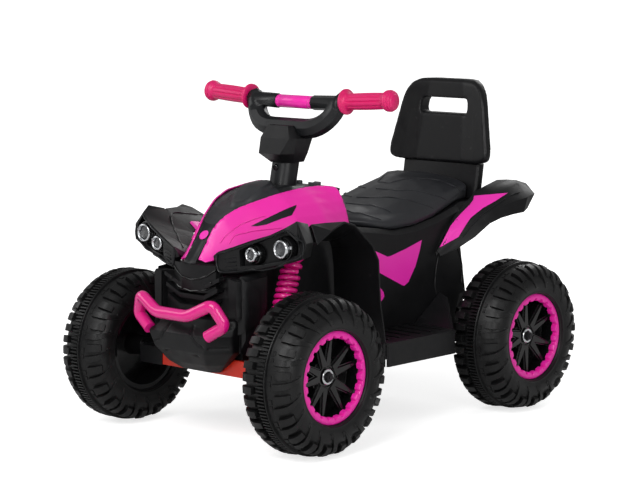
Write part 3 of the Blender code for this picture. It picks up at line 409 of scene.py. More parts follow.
def makeTyre():
    bm = spunMesh(tyre["carcass"], 96, closed=True)
    pitch = 2 * pi / tyre["pitches"]
    # for each lug: its line over the carcass, then heights, widths and sweep at each point, and its share of the pitch
    lugs = (
        # square shoulder block
        (((21.5, 114.8), (22.5, 114.4), (30, 111), (36, 106.8), (40.4, 102), (41.2, 100.8)),
         (-1, 7, 8, 7.2, 5, -1), (10, 11, 11.5, 11, 10, 9), (0, 0, 0, 0.6, 1.2, 1.4), 0),
        # long paddle that sweeps down the sidewall
        (((18.5, 115.8), (19.5, 115.4), (30, 111), (37, 106), (42, 100), (45, 92), (45.2, 84), (44.4, 80)),
         (-1, 5.4, 6.6, 5.6, 3.2, 1.6, 0.9, -0.6), (7.6, 8.6, 9.4, 9, 7.6, 6, 4.6, 3),
         (0, 0, 0.8, 2, 5, 9, 12, 13), 0.5),
        # low flat pads on the crown, cut by a slit
        (((10.6, 118), (11.2, 117.8), (16.6, 116.4), (17.2, 116.2)),
         (-0.6, 1.2, 1.3, -0.6), (7, 7.6, 7.6, 7), (0, 0, 0, 0), 0.14),
        (((11.6, 117.6), (12.2, 117.4), (16, 116.6), (16.6, 116.4)),
         (-0.6, 1, 1.1, -0.6), (6, 6.6, 6.6, 6), (0, 0, 0, 0), 0.4),
        # thin ribs low on the sidewall
        (((44.4, 93.6), (44.8, 91.6), (45.2, 84), (44.8, 82)),
         (-0.4, 0.9, 0.9, -0.4), (2.4, 2.8, 2.8, 2.4), (0, 0.4, 2.4, 3), 0.02),
        (((44.4, 92.6), (44.8, 91), (45.2, 86), (45, 84.6)),
         (-0.4, 0.9, 0.9, -0.4), (2, 2.2, 2.2, 2), (0, 0.4, 1.8, 2.2), 0.2),
        # inboard blocks, long and short in turn
        (((-12, 116.4), (-13, 116.4), (-25, 116), (-33, 114.4), (-39.4, 110), (-43, 103), (-43.4, 101.6)),
         (-1, 6.6, 8.8, 8, 6, 3, -1), (9, 10, 11, 11, 10.4, 9.4, 9), (0, 0, 0, 0, 0.4, 1, 1), 0.25),
        (((-16, 116.4), (-17, 116.4), (-26, 115.8), (-34, 114), (-39.6, 109.6), (-40.6, 108.2)),
         (-1, 7.6, 9, 8, 5.6, -1), (9.4, 10.4, 11, 10.4, 9.6, 9), (0, 0, 0, 0, 0, 0), 0.75),
        (((-44, 96), (-44.4, 94), (-44.8, 87), (-44.2, 83)),
         (-0.4, 1, 1, -0.4), (4, 5, 5, 4), (0, 0, 1, 2), 0.25),
    )
    for points, heights, widths, sweep, share in lugs:
        addMesh(bm, ringOf(fromCarcass(points, heights, widths, sweep), tyre["pitches"], pitch * share))
    addMesh(bm, ringOf(fromCarcass(((-8.8, 117.2), (5.9, 117.4)), (5.4, 5.4), (2.2, 2.2), (0, 0)), tyre["bars"]))
    return bm


def makeRim():
    bm = spunMesh((
        (-36, 71), (28.2, 71), (29, 69), (28.6, 62), (24, 61.4), (7, 61), (5, 50), (4.4, 30), (9, 22), (15, 18.6),
        (21.4, 17.4), (22.4, 18.4), (22.4, 15.4), (20.4, 15), (20.4, 6.4), (-38, 6.4), (-38, 15), (-2, 17), (0, 61),
        (-36, 63),
    ), 60, closed=True)
    spokes = 5
    fork = ((-11, 14), (-20.5, 62), (-11.5, 62), (0, 31), (11.5, 62), (20.5, 62), (11, 14))
    for number in range(spokes):
        spoke = bmesh.new()
        verts = [spoke.verts.new((3 * mm, y * mm, z * mm)) for y, z in fork]
        face = spoke.faces.new(verts)
        grown = bmesh.ops.extrude_face_region(spoke, geom=[face])["geom"]
        top = [item for item in grown if isinstance(item, bmesh.types.BMFace)]
        for vert in (item for item in grown if isinstance(item, bmesh.types.BMVert)):
            vert.co.x = (20.8 + (vert.co.z / mm - 12) * 0.05) * mm
        bmesh.ops.inset_region(spoke, faces=top, thickness=1.9 * mm, depth=0, use_even_offset=True)
        bmesh.ops.inset_region(spoke, faces=top, thickness=0.7 * mm, depth=-3 * mm, use_even_offset=True)
        bmesh.ops.recalc_face_normals(spoke, faces=spoke.faces)
        turn = Matrix.Rotation(2 * pi * number / spokes, 3, "X")
        bmesh.ops.rotate(spoke, cent=(0, 0, 0), matrix=turn, verts=spoke.verts)
        addMesh(bm, spoke)
        # a short stiffening boss between two spokes, near the hub
        boss = spunMesh(((4, 0), (4, 5.6), (17, 4.6), (18.4, 3.8), (18.4, 2.4), (16, 2), (16, 0)), 20)
        bmesh.ops.translate(boss, vec=(0, 0, 25 * mm), verts=boss.verts)
        turn = Matrix.Rotation(2 * pi * (number + 0.5) / spokes, 3, "X")
        bmesh.ops.rotate(boss, cent=(0, 0, 0), matrix=turn, verts=boss.verts)
        addMesh(bm, boss)
    return bm


def makeRing():
    # a trim ring whose inner edge is scalloped
    scallops, depth, inner = 24, 3.8, 65
    profile = ((29, 71), (29, 63.4), (37.6, 63.4), (38.8, 64.4), (39, 66.5), (38.6, 69), (37, 71))
    bm = spunMesh(profile, scallops * 8, closed=True)
    for vert in bm.verts:
        flat = Vector((vert.co.y, vert.co.z))
        if flat.length < inner * mm:
            angle = flat.angle_signed(Vector((1, 0)))
            wave = max(0, min(1, (cos(angle * scallops) + 0.35) * 2.6))
            flat *= (flat.length - depth * mm * wave) / flat.length
            vert.co.y, vert.co.z = flat
    return bm


def makeWasher():
    return spunMesh(((22.4, 12.2), (24.2, 12.2), (25, 11.4), (25, 8.8), (24, 7.8), (22.4, 7.8)), 40, closed=True)


def makeNut():
    # a six-sided nut and the end of the axle in it
    bm = spunMesh(((22.6, 0), (22.6, 7.7), (24, 7.7), (24.4, 7.2), (29.2, 7), (29.8, 6.2), (29.8, 4.2), (28.6, 4),
                   (28.6, 0)), 6)
    addMesh(bm, spunMesh(((24, 0), (24, 3.6), (30.8, 3.6), (31.3, 3), (31.3, 0)), 20))
    return bm


def tuckShoulder(bm):
    for vert in bm.verts:
        flat = Vector((vert.co.y, vert.co.z))
        if vert.co.x < -tuck["start"] * mm and flat.length > tuck["foot"] * mm:
            share = min(1, (-vert.co.x / mm - tuck["start"]) / tuck["run"])
            share *= min(1, (flat.length / mm - tuck["foot"]) / tuck["rise"])
            vert.co.y, vert.co.z = flat * (1 - tuck["drop"] * mm * share / flat.length)
            vert.co.x += tuck["shift"] * mm * share


def makeWheels():
    # for each kind: its form, finish, angle of smoothing and bevel
    made = {
        "tyre": (makeTyre, blackTyre, 40, 0.5), "rim": (makeRim, blackGloss, 35, 0.5),
        "rim_ring": (makeRing, pinkGloss, 40, 0), "axle_nut": (makeWasher, platedSilver, 30, 0),
        "nut_core": (makeNut, blackSatin, 30, 0),
    }
    for kind, (make, finish, smooth, bevel) in made.items():
        master = make()
        for end in ("front", "rear"):
            for side in (1, -1):
                where = f"{end}_{'left' if side > 0 else 'right'}"
                bm = master.copy()
                if side < 0 and kind == "tyre":
                    tuckShoulder(bm)
                elif side < 0:
                    bmesh.ops.rotate(bm, cent=(0, 0, 0), matrix=Matrix.Rotation(pi, 3, "Z"), verts=bm.verts)
                turn = Matrix.Rotation(radians(wheels["turns"][where]), 3, "X")
                bmesh.ops.rotate(bm, cent=(0, 0, 0), matrix=turn, verts=bm.verts)
                along = wheels["along"] * (-1 if end == "front" else 1)
                spot = Vector((side * wheels["across"], along, wheels["height"])) * mm
                bmesh.ops.translate(bm, vec=spot, verts=bm.verts)
                node = f"{kind}_{where}".replace("nut_core", "axle_nut")
                replaced = () if kind == "nut_core" else (node,)
                finishPiece(f"{kind}_form_{where}", bm, finish, bodyOf[node], replaced,
                            smooth=smooth, bevel=bevel, segments=1)
        master.free()


makeWheels()
print("wheels made")


# Moulded shells: the CAD solids made dense and softened, then detailed

def soften(name, edge, rounds, pin=None):
    bm = cadCopy(name)
    bmesh.ops.triangulate(bm, faces=bm.faces)
    for _ in range(7):
        far = [e for e in bm.edges if e.calc_length() > edge * mm]
        if not far:
            break
        bmesh.ops.subdivide_edges(bm, edges=far, cuts=1)
        bmesh.ops.triangulate(bm, faces=bm.faces)
    for _ in range(rounds):
        moved = [v for v in bm.verts if pin is None or not pin(v.co / mm)]
        bmesh.ops.smooth_vert(bm, verts=moved, factor=0.5, use_axis_x=True, use_axis_y=True, use_axis_z=True)
    return bm


def press(bm, paths, width, depth):
    # a groove pressed into the dense mesh along each path, in mm, on both sides
    lines = [curved(path, 4) for path in paths]
    lines += [[Vector((-p.x, p.y, p.z)) for p in line] for line in lines]
    bm.normal_update()
    for vert in bm.verts:
        spot = vert.co / mm
        nearest = 99
        for line in lines:
            for a, b in zip(line, line[1:]):
                run = b - a
                t = max(0, min(1, (spot - a).dot(run) / run.length_squared))
                nearest = min(nearest, (spot - a - run * t).length)
        if nearest < width * 2.5:
            vert.co -= vert.normal * depth * mm * exp(-(nearest / width) ** 2)


def bead(name, paths, surface, finish, radius, both=True, sink=0.3, steps=4):
    # thin lines that follow a surface, on one side or both
    tree = surfaceOf(surface)
    bm = bmesh.new()
    for path in paths:
        line = []
        for point in curved(path, steps):
            spot, normal, _, _ = tree.find_nearest(point * mm)
            line.append(spot + normal * radius * (1 - 2 * sink) * mm)
        addMesh(bm, tubeMesh(line, radius * mm, resolution=1))
    bmesh.ops.recalc_face_normals(bm, faces=bm.faces)
    if both:
        other = bm.copy()
        mirrorMesh(other)
        finishPiece(name + "_right", other, finish, "chassis", smooth=60)
    finishPiece(name + ("_left" if both else ""), bm, finish, "chassis", smooth=60)


hoods = {}
for side in ("left", "right"):
    hoods[side] = finishPiece(f"hood_shell_{side}", soften(f"hood_{side}", 7, 2), pinkGloss, bodyOf[f"hood_{side}"],
                              (f"hood_{side}",), smooth=38)
hoodInlay = ((53, -231, 337), (58, -221, 342), (68, -202, 351), (77, -181, 360), (80, -156, 366), (83, -160, 363),
             (87, -174, 352), (79, -190, 347), (68, -212, 339), (60, -223, 337))
layFilm("hood_inlay", hoodInlay, hoods["left"], blackSatin)
hoodCurves = (
    ((31, -275, 314), (33, -267, 323), (41, -246, 338), (48, -232, 344), (56, -219, 349), (63, -209, 352)),
    ((40, -266, 312), (42, -256, 323), (46, -249, 326), (52, -240, 328), (58, -230, 330), (71, -213, 332),
     (84, -194, 334)),
)
bead("hood_crease", hoodCurves, hoods["left"], pinkGloss, 1.1, sink=0.4)
# the raised mound on the spine, and the parts of the spine with the smoother finish: the nose and behind the mound
mound = {"middle": (3, -176), "reach": (27, 44), "height": 7, "steep": 3.2}
spine = {"nose": -264, "rear": -150, "still": -96}
spineForm = soften("hood_spine", 5, 2, lambda p: p.y > spine["still"])
spineForm.normal_update()
for vert in spineForm.verts:
    spot = vert.co / mm
    far = sum(((spot[axis] - mound["middle"][axis]) / mound["reach"][axis]) ** 2 for axis in (0, 1))
    if far < 1 and vert.normal.z > 0.3:
        vert.co.z += mound["height"] * mm * min(1, (1 - far) * mound["steep"])
spinePiece = finishPiece("hood_spine_form", spineForm, seatSkin, "chassis", ("hood_spine",), smooth=30)
spinePiece.data.materials.append(blackSatin)
for face in spinePiece.data.polygons:
    face.material_index = int(face.center.y < spine["nose"] * mm or face.center.y > spine["rear"] * mm)
print("hood made")

seatGrooves = (
    ((21, 8, 340), (47, 11, 339), (56, 23, 338), (68, 35, 333), (80, 47, 326)),
    ((8, 40, 348), (33, 48, 347), (46, 60, 347), (62, 69, 343), (75, 80, 336)),
    ((6, 70, 355), (32, 81, 355), (48, 102, 356), (66, 126, 352), (78, 149, 344), (86, 173, 334)),
    ((12, 112, 366), (40, 126, 365), (54, 150, 364), (69, 174, 359), (77, 193, 353), (82, 212, 344)),
    ((0, 142, 375), (12, 144, 373), (23, 168, 378), (37, 193, 379), (52, 223, 375), (69, 244, 365), (74, 256, 354)),
)
# the crown rolls off towards both edges, most at the front
crown = {"halfWidth": 86, "rear": 230, "length": 200, "foot": 322, "rise": 14, "drop": 9}
seatForm = soften("seat", 3.4, 12)
for vert in seatForm.verts:
    spot = vert.co / mm
    reach = min(1, abs(spot.x) / crown["halfWidth"]) ** 3
    front = max(0, min(1, (crown["rear"] - spot.y) / crown["length"]))
    if spot.z > crown["foot"]:
        vert.co.z -= crown["drop"] * mm * reach * front * min(1, (spot.z - crown["foot"]) / crown["rise"])
seatPiece = finishPiece("seat_form", seatForm, seatSkin, "chassis", ("seat",), smooth=70)
bead("seat_line", seatGrooves, seatPiece, seatSkin, 1, sink=0.38)
finishPiece("backrest_form", soften("backrest", 6, 2), blackMoulded, "chassis", ("backrest",), smooth=32)
dress("backrest_bracket", blackMoulded, 1.2)
print("seat made")

shells = {
    "body_shell": (blackMoulded, 1.2), "floor_pan": (blackMoulded, 0.8),
    "front_fascia": (blackMoulded, 0.8), "bar_clamp_cowl": (blackMoulded, 1.6),
    "headlight_pod_left": (blackMoulded, 1), "headlight_pod_right": (blackMoulded, 1),
    "front_fender_left": (blackMoulded, 0.9), "front_fender_right": (blackMoulded, 0.9),
    "rear_fender_left": (blackMoulded, 0.9), "rear_fender_right": (blackMoulded, 0.9),
    "accelerator_pedal": (greyMoulded, 0.6), "battery": (greyMoulded, 1), "motor_gearbox": (greyMoulded, 1),
    "direction_switch": (greyMoulded, 0.6), "power_button": (greyMoulded, 0.4), "sound_button": (greyMoulded, 0.4),
    "charging_socket": (blackSatin, 0.4), "front_axle_beam": (orangeCoat, 1), "knuckle_left": (zincSteel, 0.5),
    "knuckle_right": (zincSteel, 0.5), "rear_axle": (zincSteel, 0.4), "steering_shaft": (zincSteel, 0.3),
    "tie_rod": (zincSteel, 0.3), "steering_column": (blackSatin, 0.8), "handlebar": (blackSatin, 0),
}
for name, (finish, bevel) in shells.items():
    dress(name, finish, bevel)
chin = soften("lower_bumper", 3.6, 2)
chinGrooves = (((24, -328, 193), (30, -338, 177), (42, -338, 164), (60, -331, 158), (80, -309, 158)),
               ((0, -338, 146), (26, -334, 144), (50, -322, 147)))
press(chin, chinGrooves, 1.7, 3)
finishPiece("lower_bumper_form", chin, blackMoulded, "chassis", ("lower_bumper",), smooth=32)
# black sockets over the ends of the beam, where the kingpins sit
socket = {"inner": 92, "wall": 0.9}
for side in (1, -1):
    cap = cadCopy("front_axle_beam")
    geom = cap.verts[:] + cap.edges[:] + cap.faces[:]
    bmesh.ops.bisect_plane(cap, geom=geom, plane_co=(side * socket["inner"] * mm, 0, 0), plane_no=(side, 0, 0),
                           clear_inner=True)
    bmesh.ops.solidify(cap, geom=cap.faces[:], thickness=-socket["wall"] * mm)
    bmesh.ops.recalc_face_normals(cap, faces=cap.faces)
    finishPiece(f"beam_socket_{'left' if side > 0 else 'right'}", cap, blackMoulded, "chassis",
                smooth=35)
print("shells made")


# Films and lines on the body

sideFilm = ((96, 1, 283), (96, 43, 266), (96, 50, 266), (96, 88, 274), (97, 130, 285), (98, 124, 269), (99, 111, 243),
            (100, 92, 219), (100, 82, 214), (100, 76, 216), (97, 3, 251), (97, -60, 282), (96, -60, 312))
swoosh = ((97, 4, 230), (98, 12, 221), (99, 24, 216), (99, 31, 209), (100, 32, 202), (100, 26, 196), (100, 6, 190),
          (99, 6, 199), (99, 11, 203), (99, 10, 208), (98, 5, 211))
layFilm("side_film", sideFilm, nodes["body_shell"], pinkFilm, heading=(-1, 0, 0))
layFilm("swoosh_film", swoosh, nodes["body_shell"], pinkFilm, heading=(-1, 0, 0))
fenderFilm = ((106, 166, 270), (106, 194, 303), (108, 205, 313), (110, 214, 321), (113, 237, 336), (112, 247, 343),
              (107, 256, 349), (130, 270, 352), (149, 294, 354), (144, 266, 342), (135, 243, 331), (127, 219, 315),
              (123, 194, 286))
layFilm("fender_film", fenderFilm, nodes["rear_fender_left"], pinkFilm)
wingGroove = ((156, -126, 329), (148, -150, 333), (149, -164, 335), (150, -180, 337), (151, -194, 339),
              (150, -204, 338), (137, -220, 337), (130, -226, 333), (119, -234, 327), (105, -242, 319), (85, -254, 311),
              (70, -262, 302), (60, -267, 297))
wing = (nodes["headlight_pod_left"], nodes["front_fender_left"])
bead("wing_line", (wingGroove,), wing, blackGloss, 1.1, sink=0.45)
wingPatch = ((130, -184, 323), (133, -178, 325), (131, -163, 323), (110, -160, 312), (100, -175, 308), (113, -184, 311))
layFilm("wing_patch", wingPatch, wing, pinkFilm, heading=(0.61, 0.78, -0.12))
chevrons = (
    ((-45, -300, 274), (-33, -304, 266), (-19, -309, 260), (0, -309, 257), (19, -309, 260), (33, -304, 266),
     (45, -300, 274)),
    ((-60, -297, 262), (-45, -300, 251), (-29, -306, 243), (0, -309, 239), (29, -306, 243), (45, -300, 251),
     (60, -297, 262)),
)
dots = bmesh.new()
for x, y in ((43, -308.6), (50, -303.4), (-43, -308.6), (-50, -303.4)):
    dot = bmesh.new()
    bmesh.ops.create_uvsphere(dot, u_segments=12, v_segments=8, radius=1.8 * mm)
    bmesh.ops.translate(dot, vec=Vector((x, y, 256)) * mm, verts=dot.verts)
    addMesh(dots, dot)
finishPiece("fascia_dots", dots, blackGloss, "chassis", smooth=60)
tailLine = ((158, 314, 354), (155, 300, 351), (152, 275, 342), (147, 254, 332), (140, 235, 320), (134, 218, 306),
            (127, 199, 286))
bead("fender_tail_line", (tailLine,), nodes["rear_fender_left"], blackMoulded, 1.3, sink=0.5)
bead("fascia_chevron", chevrons, nodes["front_fascia"], blackGloss, 1.4, both=False, steps=1)
panelFold = (((100, 171, 258), (101, 164, 241), (103, 159, 223), (104, 156, 206), (106, 159, 191)),
             ((98, 222, 262), (103, 229, 234), (107, 222, 205)))
bead("body_fold", panelFold, nodes["body_shell"], blackMoulded, 1.1, sink=0.45)
cheek = ((74, -299, 264), (86, -298, 262), (98, -281, 260), (99, -262, 240), (98, -258, 196), (86, -296, 176),
         (75, -299, 186))
layFilm("cheek_plate", cheek, nodes["front_fascia"], blackMoulded, lift=1.6,
        heading=(-0.5, 0.86, 0), thick=-1.4)
disc = {"middle": (-279, 323), "radius": 8.4, "sides": 28}
badge = []
for i in range(disc["sides"]):
    angle = 2 * pi * i / disc["sides"]
    badge.append(Vector((sin(angle) * disc["radius"], *disc["middle"]))
                 + Vector((0, 0.55, 0.83)) * cos(angle) * disc["radius"])
layFilm("badge_disc", badge, spinePiece, pinkFilm, lift=1, heading=(0, 0.83, -0.55), both=False)
print("films laid")


# Steering: grips, crossbar sleeve

def alongLine(bm, start, end):
    # a form made along X from 0 is turned onto the line from start to end
    start, end = Vector(start) * mm, Vector(end) * mm
    turn = Vector((1, 0, 0)).rotation_difference(end - start).to_matrix().to_4x4()
    bmesh.ops.transform(bm, matrix=Matrix.Translation(start) @ turn, verts=bm.verts)


grip = {"inner": (102.6, -66.7, 523.8), "outer": (204.5, -64.5, 529.9), "steps": 140, "flutes": 10, "depth": 1.7}


def makeGrip():
    # flange, barrel with lengthwise flutes, two collars and a domed end
    length = (Vector(grip["outer"]) - Vector(grip["inner"])).length
    profile = [(0, 10), (0, 19.4), (0.8, 20.4), (3.4, 20.5), (4.6, 19), (5.4, 15), (8, 13.2), (11, 12.9)]
    profile += [(13 + i * 6, 13 + 0.5 * sin(pi * i / 11)) for i in range(12)]
    profile += [(82, 13), (84, 14), (86.5, 16.4), (88.5, 17), (89.4, 16.2), (90.2, 16.2), (91, 17.2), (93, 17.2),
                (93.6, 16), (94.4, 15.8), (95, 16), (97, 15.6), (97.4, 14), (98.2, 13.4), (98.8, 13.4),
                (length - 2.6, 12.4), (length - 2.4, 10.6), (length - 1.6, 10), (length - 0.8, 9), (length - 1, 6.6),
                (length - 0.4, 5.6), (length - 0.4, 0)]
    bm = spunMesh(profile, grip["steps"])
    for vert in bm.verts:
        if 12 * mm < vert.co.x < 80 * mm:
            flat = Vector((vert.co.y, vert.co.z))
            dip = max(0, cos(flat.angle_signed(Vector((1, 0))) * grip["flutes"])) ** 2
            flat *= 1 - dip * grip["depth"] * mm / flat.length
            vert.co.y, vert.co.z = flat
    return bm


for side in (1, -1):
    where = "left" if side > 0 else "right"
    bm = makeGrip()
    alongLine(bm, grip["inner"], grip["outer"])
    if side < 0:
        mirrorMesh(bm)
    finishPiece(f"grip_form_{where}", bm, pinkGrip, "steering", (f"grip_{where}",), smooth=50)

sleeve = spunMesh(((0, 7.6), (0, 10), (1, 10.6), (6, 10.6), (6.6, 10.1), (8, 10.1), (8.6, 10.6), (67.4, 10.6),
                   (68, 10.1), (69.4, 10.1), (70, 10.6), (75, 10.6), (76, 10), (76, 7.6)), 40, closed=True)
alongLine(sleeve, (-38, -69.7, 519.65), (38, -69.7, 519.65))
finishPiece("crossbar_sleeve_form", sleeve, pinkGloss, "steering", ("crossbar_sleeve",), smooth=40)
print("grips made")


# Springs and dampers

shock = {"low": (114, -249, 138.5), "high": (114, -204, 276)}
coil = {"turns": 9, "pitch": 9.8, "radius": 13.4, "wire": 4, "steps": 24, "fromTop": 5.8}
# the arm that holds the shock's head under the fender
arm = {"line": ((116, -203, 283), (128, -196, 290), (134, -191, 300), (134, -188, 308)), "fillet": 8, "radius": 4.4}


def makeSpring():
    low, high = Vector(shock["low"]), Vector(shock["high"])
    along = (high - low).normalized()
    across = Vector((1, 0, 0))
    third = along.cross(across).normalized()
    start = high - along * (coil["turns"] * coil["pitch"] + coil["fromTop"])
    line = []
    for i in range(coil["turns"] * coil["steps"] + 1):
        turn = 2 * pi * i / coil["steps"]
        climb = along * coil["pitch"] * i / coil["steps"]
        line.append((start + climb + (across * cos(turn) + third * sin(turn)) * coil["radius"]) * mm)
    return tubeMesh(line, coil["wire"] * mm, resolution=3)


def makeDamper():
    # foot, thin body, lower spring cup, rod and upper cup
    length = (Vector(shock["high"]) - Vector(shock["low"])).length
    bm = spunMesh(((-3, 0), (-3, 7), (-1, 9.4), (6, 9.4), (8, 7), (36, 7), (38, 15.6), (39.5, 16.4), (42.4, 16.4),
                   (44, 15.4), (44, 8), (length - 20, 8), (length - 8, 6.4), (length - 2, 11), (length + 1, 16.4),
                   (length + 5, 16.6), (length + 7, 15), (length + 8, 7), (length + 10, 0)), 36)
    alongLine(bm, shock["low"], shock["high"])
    line = [Vector(p) * mm for p in arm["line"]]
    addMesh(bm, tubeMesh(rounded(line, arm["fillet"] * mm), arm["radius"] * mm))
    return bm


for kind, make in (("shock_spring", makeSpring), ("shock_body", makeDamper)):
    for side in (1, -1):
        where = "left" if side > 0 else "right"
        bm = make()
        if side < 0:
            mirrorMesh(bm)
        bmesh.ops.recalc_face_normals(bm, faces=bm.faces)
        node = f"{kind}_{where}"
        finishPiece(f"{kind}_form_{where}", bm, pinkEnamel, bodyOf[node], (node,), smooth=50)

# the left half of the bar's line, which is mirrored
bar = {"line": ((34, -350, 208), (78, -341, 229), (95, -330, 197), (63, -337, 178)), "fillet": 10, "radius": 9.6}
corners = [Vector((-x, y, z)) * mm for x, y, z in reversed(bar["line"])] + [Vector(p) * mm for p in bar["line"]]
barForm = bmesh.new()
addMesh(barForm, tubeMesh(rounded(corners, bar["fillet"] * mm, 7), bar["radius"] * mm, resolution=5))
finishPiece("bumper_bar_form", barForm, pinkEnamel, "chassis", ("bumper_bar",), smooth=50)
print("springs made")


# Lamps

def makeLampRing(radius):
    return spunMesh(((-2, radius - 0.2), (6, radius - 0.2), (8.6, radius - 0.6), (9.6, radius - 1.6),
                     (9.8, radius - 3.2), (8.4, radius - 4.6), (4, radius - 5), (-2, radius - 5)), 48, closed=True)


def makeLens(radius):
    # a domed lens with fine rings, and upright ribs across it
    profile = [(0, radius - 4.9), (4.6, radius - 4.9), (5.4, radius - 5.2)]
    for k in (5, 4, 3, 2, 1, 0):
        profile.append((5.4 + 1.6 * (1 - (k / 6) ** 2) + (0.35 if k % 2 else 0), (radius - 5.4) * k / 6))
    bm = spunMesh(profile, 36)
    for i in range(-4, 5):
        height = i * 2
        reach = (radius - 5.8) ** 2 - height ** 2
        if reach <= 1:
            continue
        reach = reach ** 0.5
        line = [Vector((x, y, height)) * mm for x, y in ((6.4, -reach), (7.4, 0), (6.4, reach))]
        addMesh(bm, tubeMesh(line, 0.5 * mm, resolution=1))
    return bm


# middle and radius of each lamp of the left pod
lamps = {"outer": ((150, -259, 313), 15), "inner": ((103, -275, 302), 12)}
towardsFront = Matrix.Rotation(-pi / 2, 3, "Z")
for kind, (spot, radius) in lamps.items():
    for side in (1, -1):
        where = "left" if side > 0 else "right"
        for part, make, finish in (("ring", makeLampRing, platedSilver), ("lens", makeLens, smokedLens)):
            bm = make(radius)
            bmesh.ops.rotate(bm, cent=(0, 0, 0), matrix=towardsFront, verts=bm.verts)
            bmesh.ops.translate(bm, vec=Vector((spot[0] * side, spot[1], spot[2])) * mm, verts=bm.verts)
            node = f"headlamp_{kind}_{where}"
            finishPiece(f"headlamp_{kind}_{part}_{where}", bm, finish, "chassis", (node,) if part == "ring" else (),
                        smooth=40)
podBorder = ((47, -300, 300), (78, -291, 310), (104, -284, 320), (134, -273, 330), (156, -262, 342), (170, -256, 336),
             (183, -252, 322), (180, -255, 302), (150, -262, 291), (124, -268, 284), (80, -287, 275), (52, -298, 273),
             (47, -300, 284), (47, -300, 300))
podRibs = [((60, -295, z), (70, -292, z + 1.5), (79, -290, z + 3)) for z in (275, 281, 287, 293)]
bead("pod_border", (podBorder,), nodes["headlight_pod_left"], blackSatin, 1.7)
bead("pod_rib", podRibs, nodes["headlight_pod_left"], blackSatin, 1, sink=0.4)
# a raised collar round each lamp, and a plated clip beside it
for kind, (spot, radius) in lamps.items():
    collar = spunMesh(((-9, radius + 4.6), (-1, radius + 3.6), (1.4, radius + 3), (1.8, radius + 2),
                       (0.8, radius + 0.7), (-9, radius + 0.5)), 40, closed=True)
    bmesh.ops.rotate(collar, cent=(0, 0, 0), matrix=towardsFront, verts=collar.verts)
    clip = bmesh.new()
    bmesh.ops.create_cube(clip, size=1, matrix=Matrix.Diagonal((3.4 * mm, 7 * mm, 5 * mm, 1)))
    bmesh.ops.bevel(clip, geom=clip.edges[:], offset=0.7 * mm, offset_type="OFFSET", segments=2, profile=0.5,
                    affect="EDGES", material=-1)
    bmesh.ops.translate(clip, vec=Vector((radius + 2.4, -1, 3.5)) * mm, verts=clip.verts)
    for made, part, finish, slot in ((collar, "collar", blackGloss, "black_satin"),
                                     (clip, "clip", platedSilver, "silver_plated")):
        bmesh.ops.translate(made, vec=Vector(spot) * mm, verts=made.verts)
        other = made.copy()
        mirrorMesh(other)
        finishPiece(f"headlamp_{part}_{kind}_right", other, finish, "chassis", smooth=40)
        finishPiece(f"headlamp_{part}_{kind}_left", made, finish, "chassis", smooth=40)
# the head of a bolt in the front of the column, which leans back by 12 degrees
stud = spunMesh(((-2, 0), (-2, 5.4), (0.6, 5.2), (1.2, 4.6), (1.2, 3.4), (0, 3), (0, 0)), 24)
lean = Matrix.Rotation(radians(12), 3, "Y")
bmesh.ops.rotate(stud, cent=(0, 0, 0), matrix=towardsFront @ lean, verts=stud.verts)
bmesh.ops.translate(stud, vec=Vector((0, -119.6, 417)) * mm, verts=stud.verts)
finishPiece("column_stud", stud, blackGloss, "steering", smooth=40)
print("lamps made")


# Floor, light and camera

# metres: half the floor's side, and where its own glow starts and ends round the object, which keeps its shadow
studio = {"floor": 40, "glowFrom": 0.5, "glowTo": 2.4, "near": 0.7, "worldLight": 0.34}
bm = bmesh.new()
bmesh.ops.create_grid(bm, x_segments=8, y_segments=8, size=studio["floor"])
data = bpy.data.meshes.new("studio_floor")
bm.to_mesh(data)
bm.free()
floor = bpy.data.objects.new("studio_floor", data)
bpy.context.scene.collection.objects.link(floor)
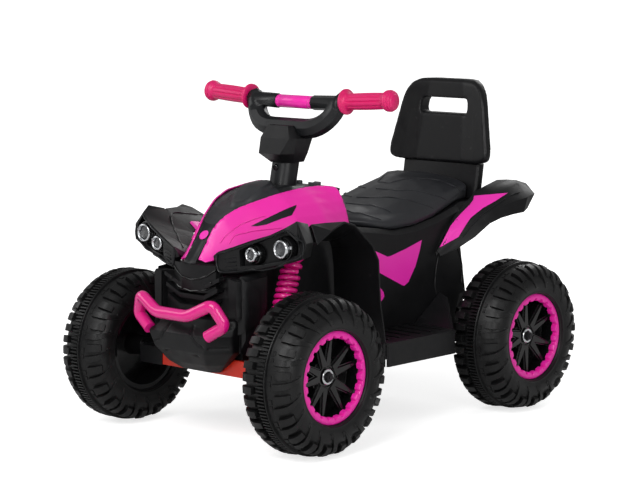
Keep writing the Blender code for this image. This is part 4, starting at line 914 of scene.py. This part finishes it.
# matt white paper, which reads as white behind and below the object
paper = bpy.data.materials.new("whitePaperSweep")
paper.use_nodes = True
tree = paper.node_tree
shader = tree.nodes["Principled BSDF"]
shader.inputs["Roughness"].default_value = 0.9
shader.inputs["Base Color"].default_value = (0.8, 0.8, 0.8, 1)
shader.inputs["Emission Color"].default_value = (1, 1, 1, 1)
place = addNode(tree, "ShaderNodeTexCoord").outputs["Object"]
away = addNode(tree, "ShaderNodeVectorMath", {"operation": "LENGTH"}, {0: place}).outputs["Value"]
fade = addNode(tree, "ShaderNodeMapRange", inputs={
    "Value": away, "From Min": studio["glowFrom"], "From Max": studio["glowTo"], "To Min": studio["near"], "To Max": 1,
})
glow = addNode(tree, "ShaderNodeMath", {"operation": "MULTIPLY"}, {
    0: addNode(tree, "ShaderNodeLightPath").outputs["Is Camera Ray"], 1: fade.outputs[0],
})
tree.links.new(glow.outputs[0], shader.inputs["Emission Strength"])
data.materials.append(paper)

world = bpy.data.worlds.new("studio")
bpy.context.scene.world = world
world.use_nodes = True
tree = world.node_tree
sky = tree.nodes["Background"]
ray = addNode(tree, "ShaderNodeLightPath")
seen = addNode(tree, "ShaderNodeMath", {"operation": "MAXIMUM"}, {
    0: ray.outputs["Is Camera Ray"], 1: ray.outputs["Is Transmission Ray"],
})
strength = addNode(tree, "ShaderNodeMapRange", inputs={
    "Value": seen.outputs[0], "To Min": studio["worldLight"], "To Max": 1,
})
sky.inputs["Color"].default_value = (1, 1, 1, 1)
tree.links.new(strength.outputs[0], sky.inputs["Strength"])

# place in metres, size and power of each lamp
lights = {
    "key": ((0.9, -2.5, 2.4), 1.9, 52), "fill": ((-2.4, -1.3, 1.5), 1.6, 12), "rim": ((-0.6, 2.5, 1.9), 1.6, 17),
    "side": ((2.8, -1.3, 1.2), 1.5, 22), "strip": ((1.2, -2.9, 0.9), 0.5, 9),
}
lightTarget = Vector((0, 0, 0.25))
for name, (spot, size, power) in lights.items():
    lamp = bpy.data.lights.new(name, "AREA")
    lamp.shape = "RECTANGLE"
    lamp.size = size
    lamp.size_y = size * 0.7
    lamp.energy = power
    holder = bpy.data.objects.new(name, lamp)
    holder.location = spot
    holder.rotation_euler = (lightTarget - Vector(spot)).to_track_quat("-Z", "Y").to_euler()
    bpy.context.scene.collection.objects.link(holder)

# the camera solved from the photograph
eye = {"place": (2.4432, -2.6895, 0.7578), "target": (0.1411, -0.1683, 0.3173), "lens": 125.5, "sensor": 36}
lens = bpy.data.cameras.new("camera")
lens.lens = eye["lens"]
lens.sensor_width = eye["sensor"]
camera = bpy.data.objects.new("camera", lens)
bpy.context.scene.collection.objects.link(camera)
camera.location = eye["place"]
camera.rotation_euler = (Vector(eye["target"]) - camera.location).to_track_quat("-Z", "Y").to_euler()
bpy.context.scene.camera = camera
bpy.context.scene.view_settings.view_transform = "Standard"
print("studio made")
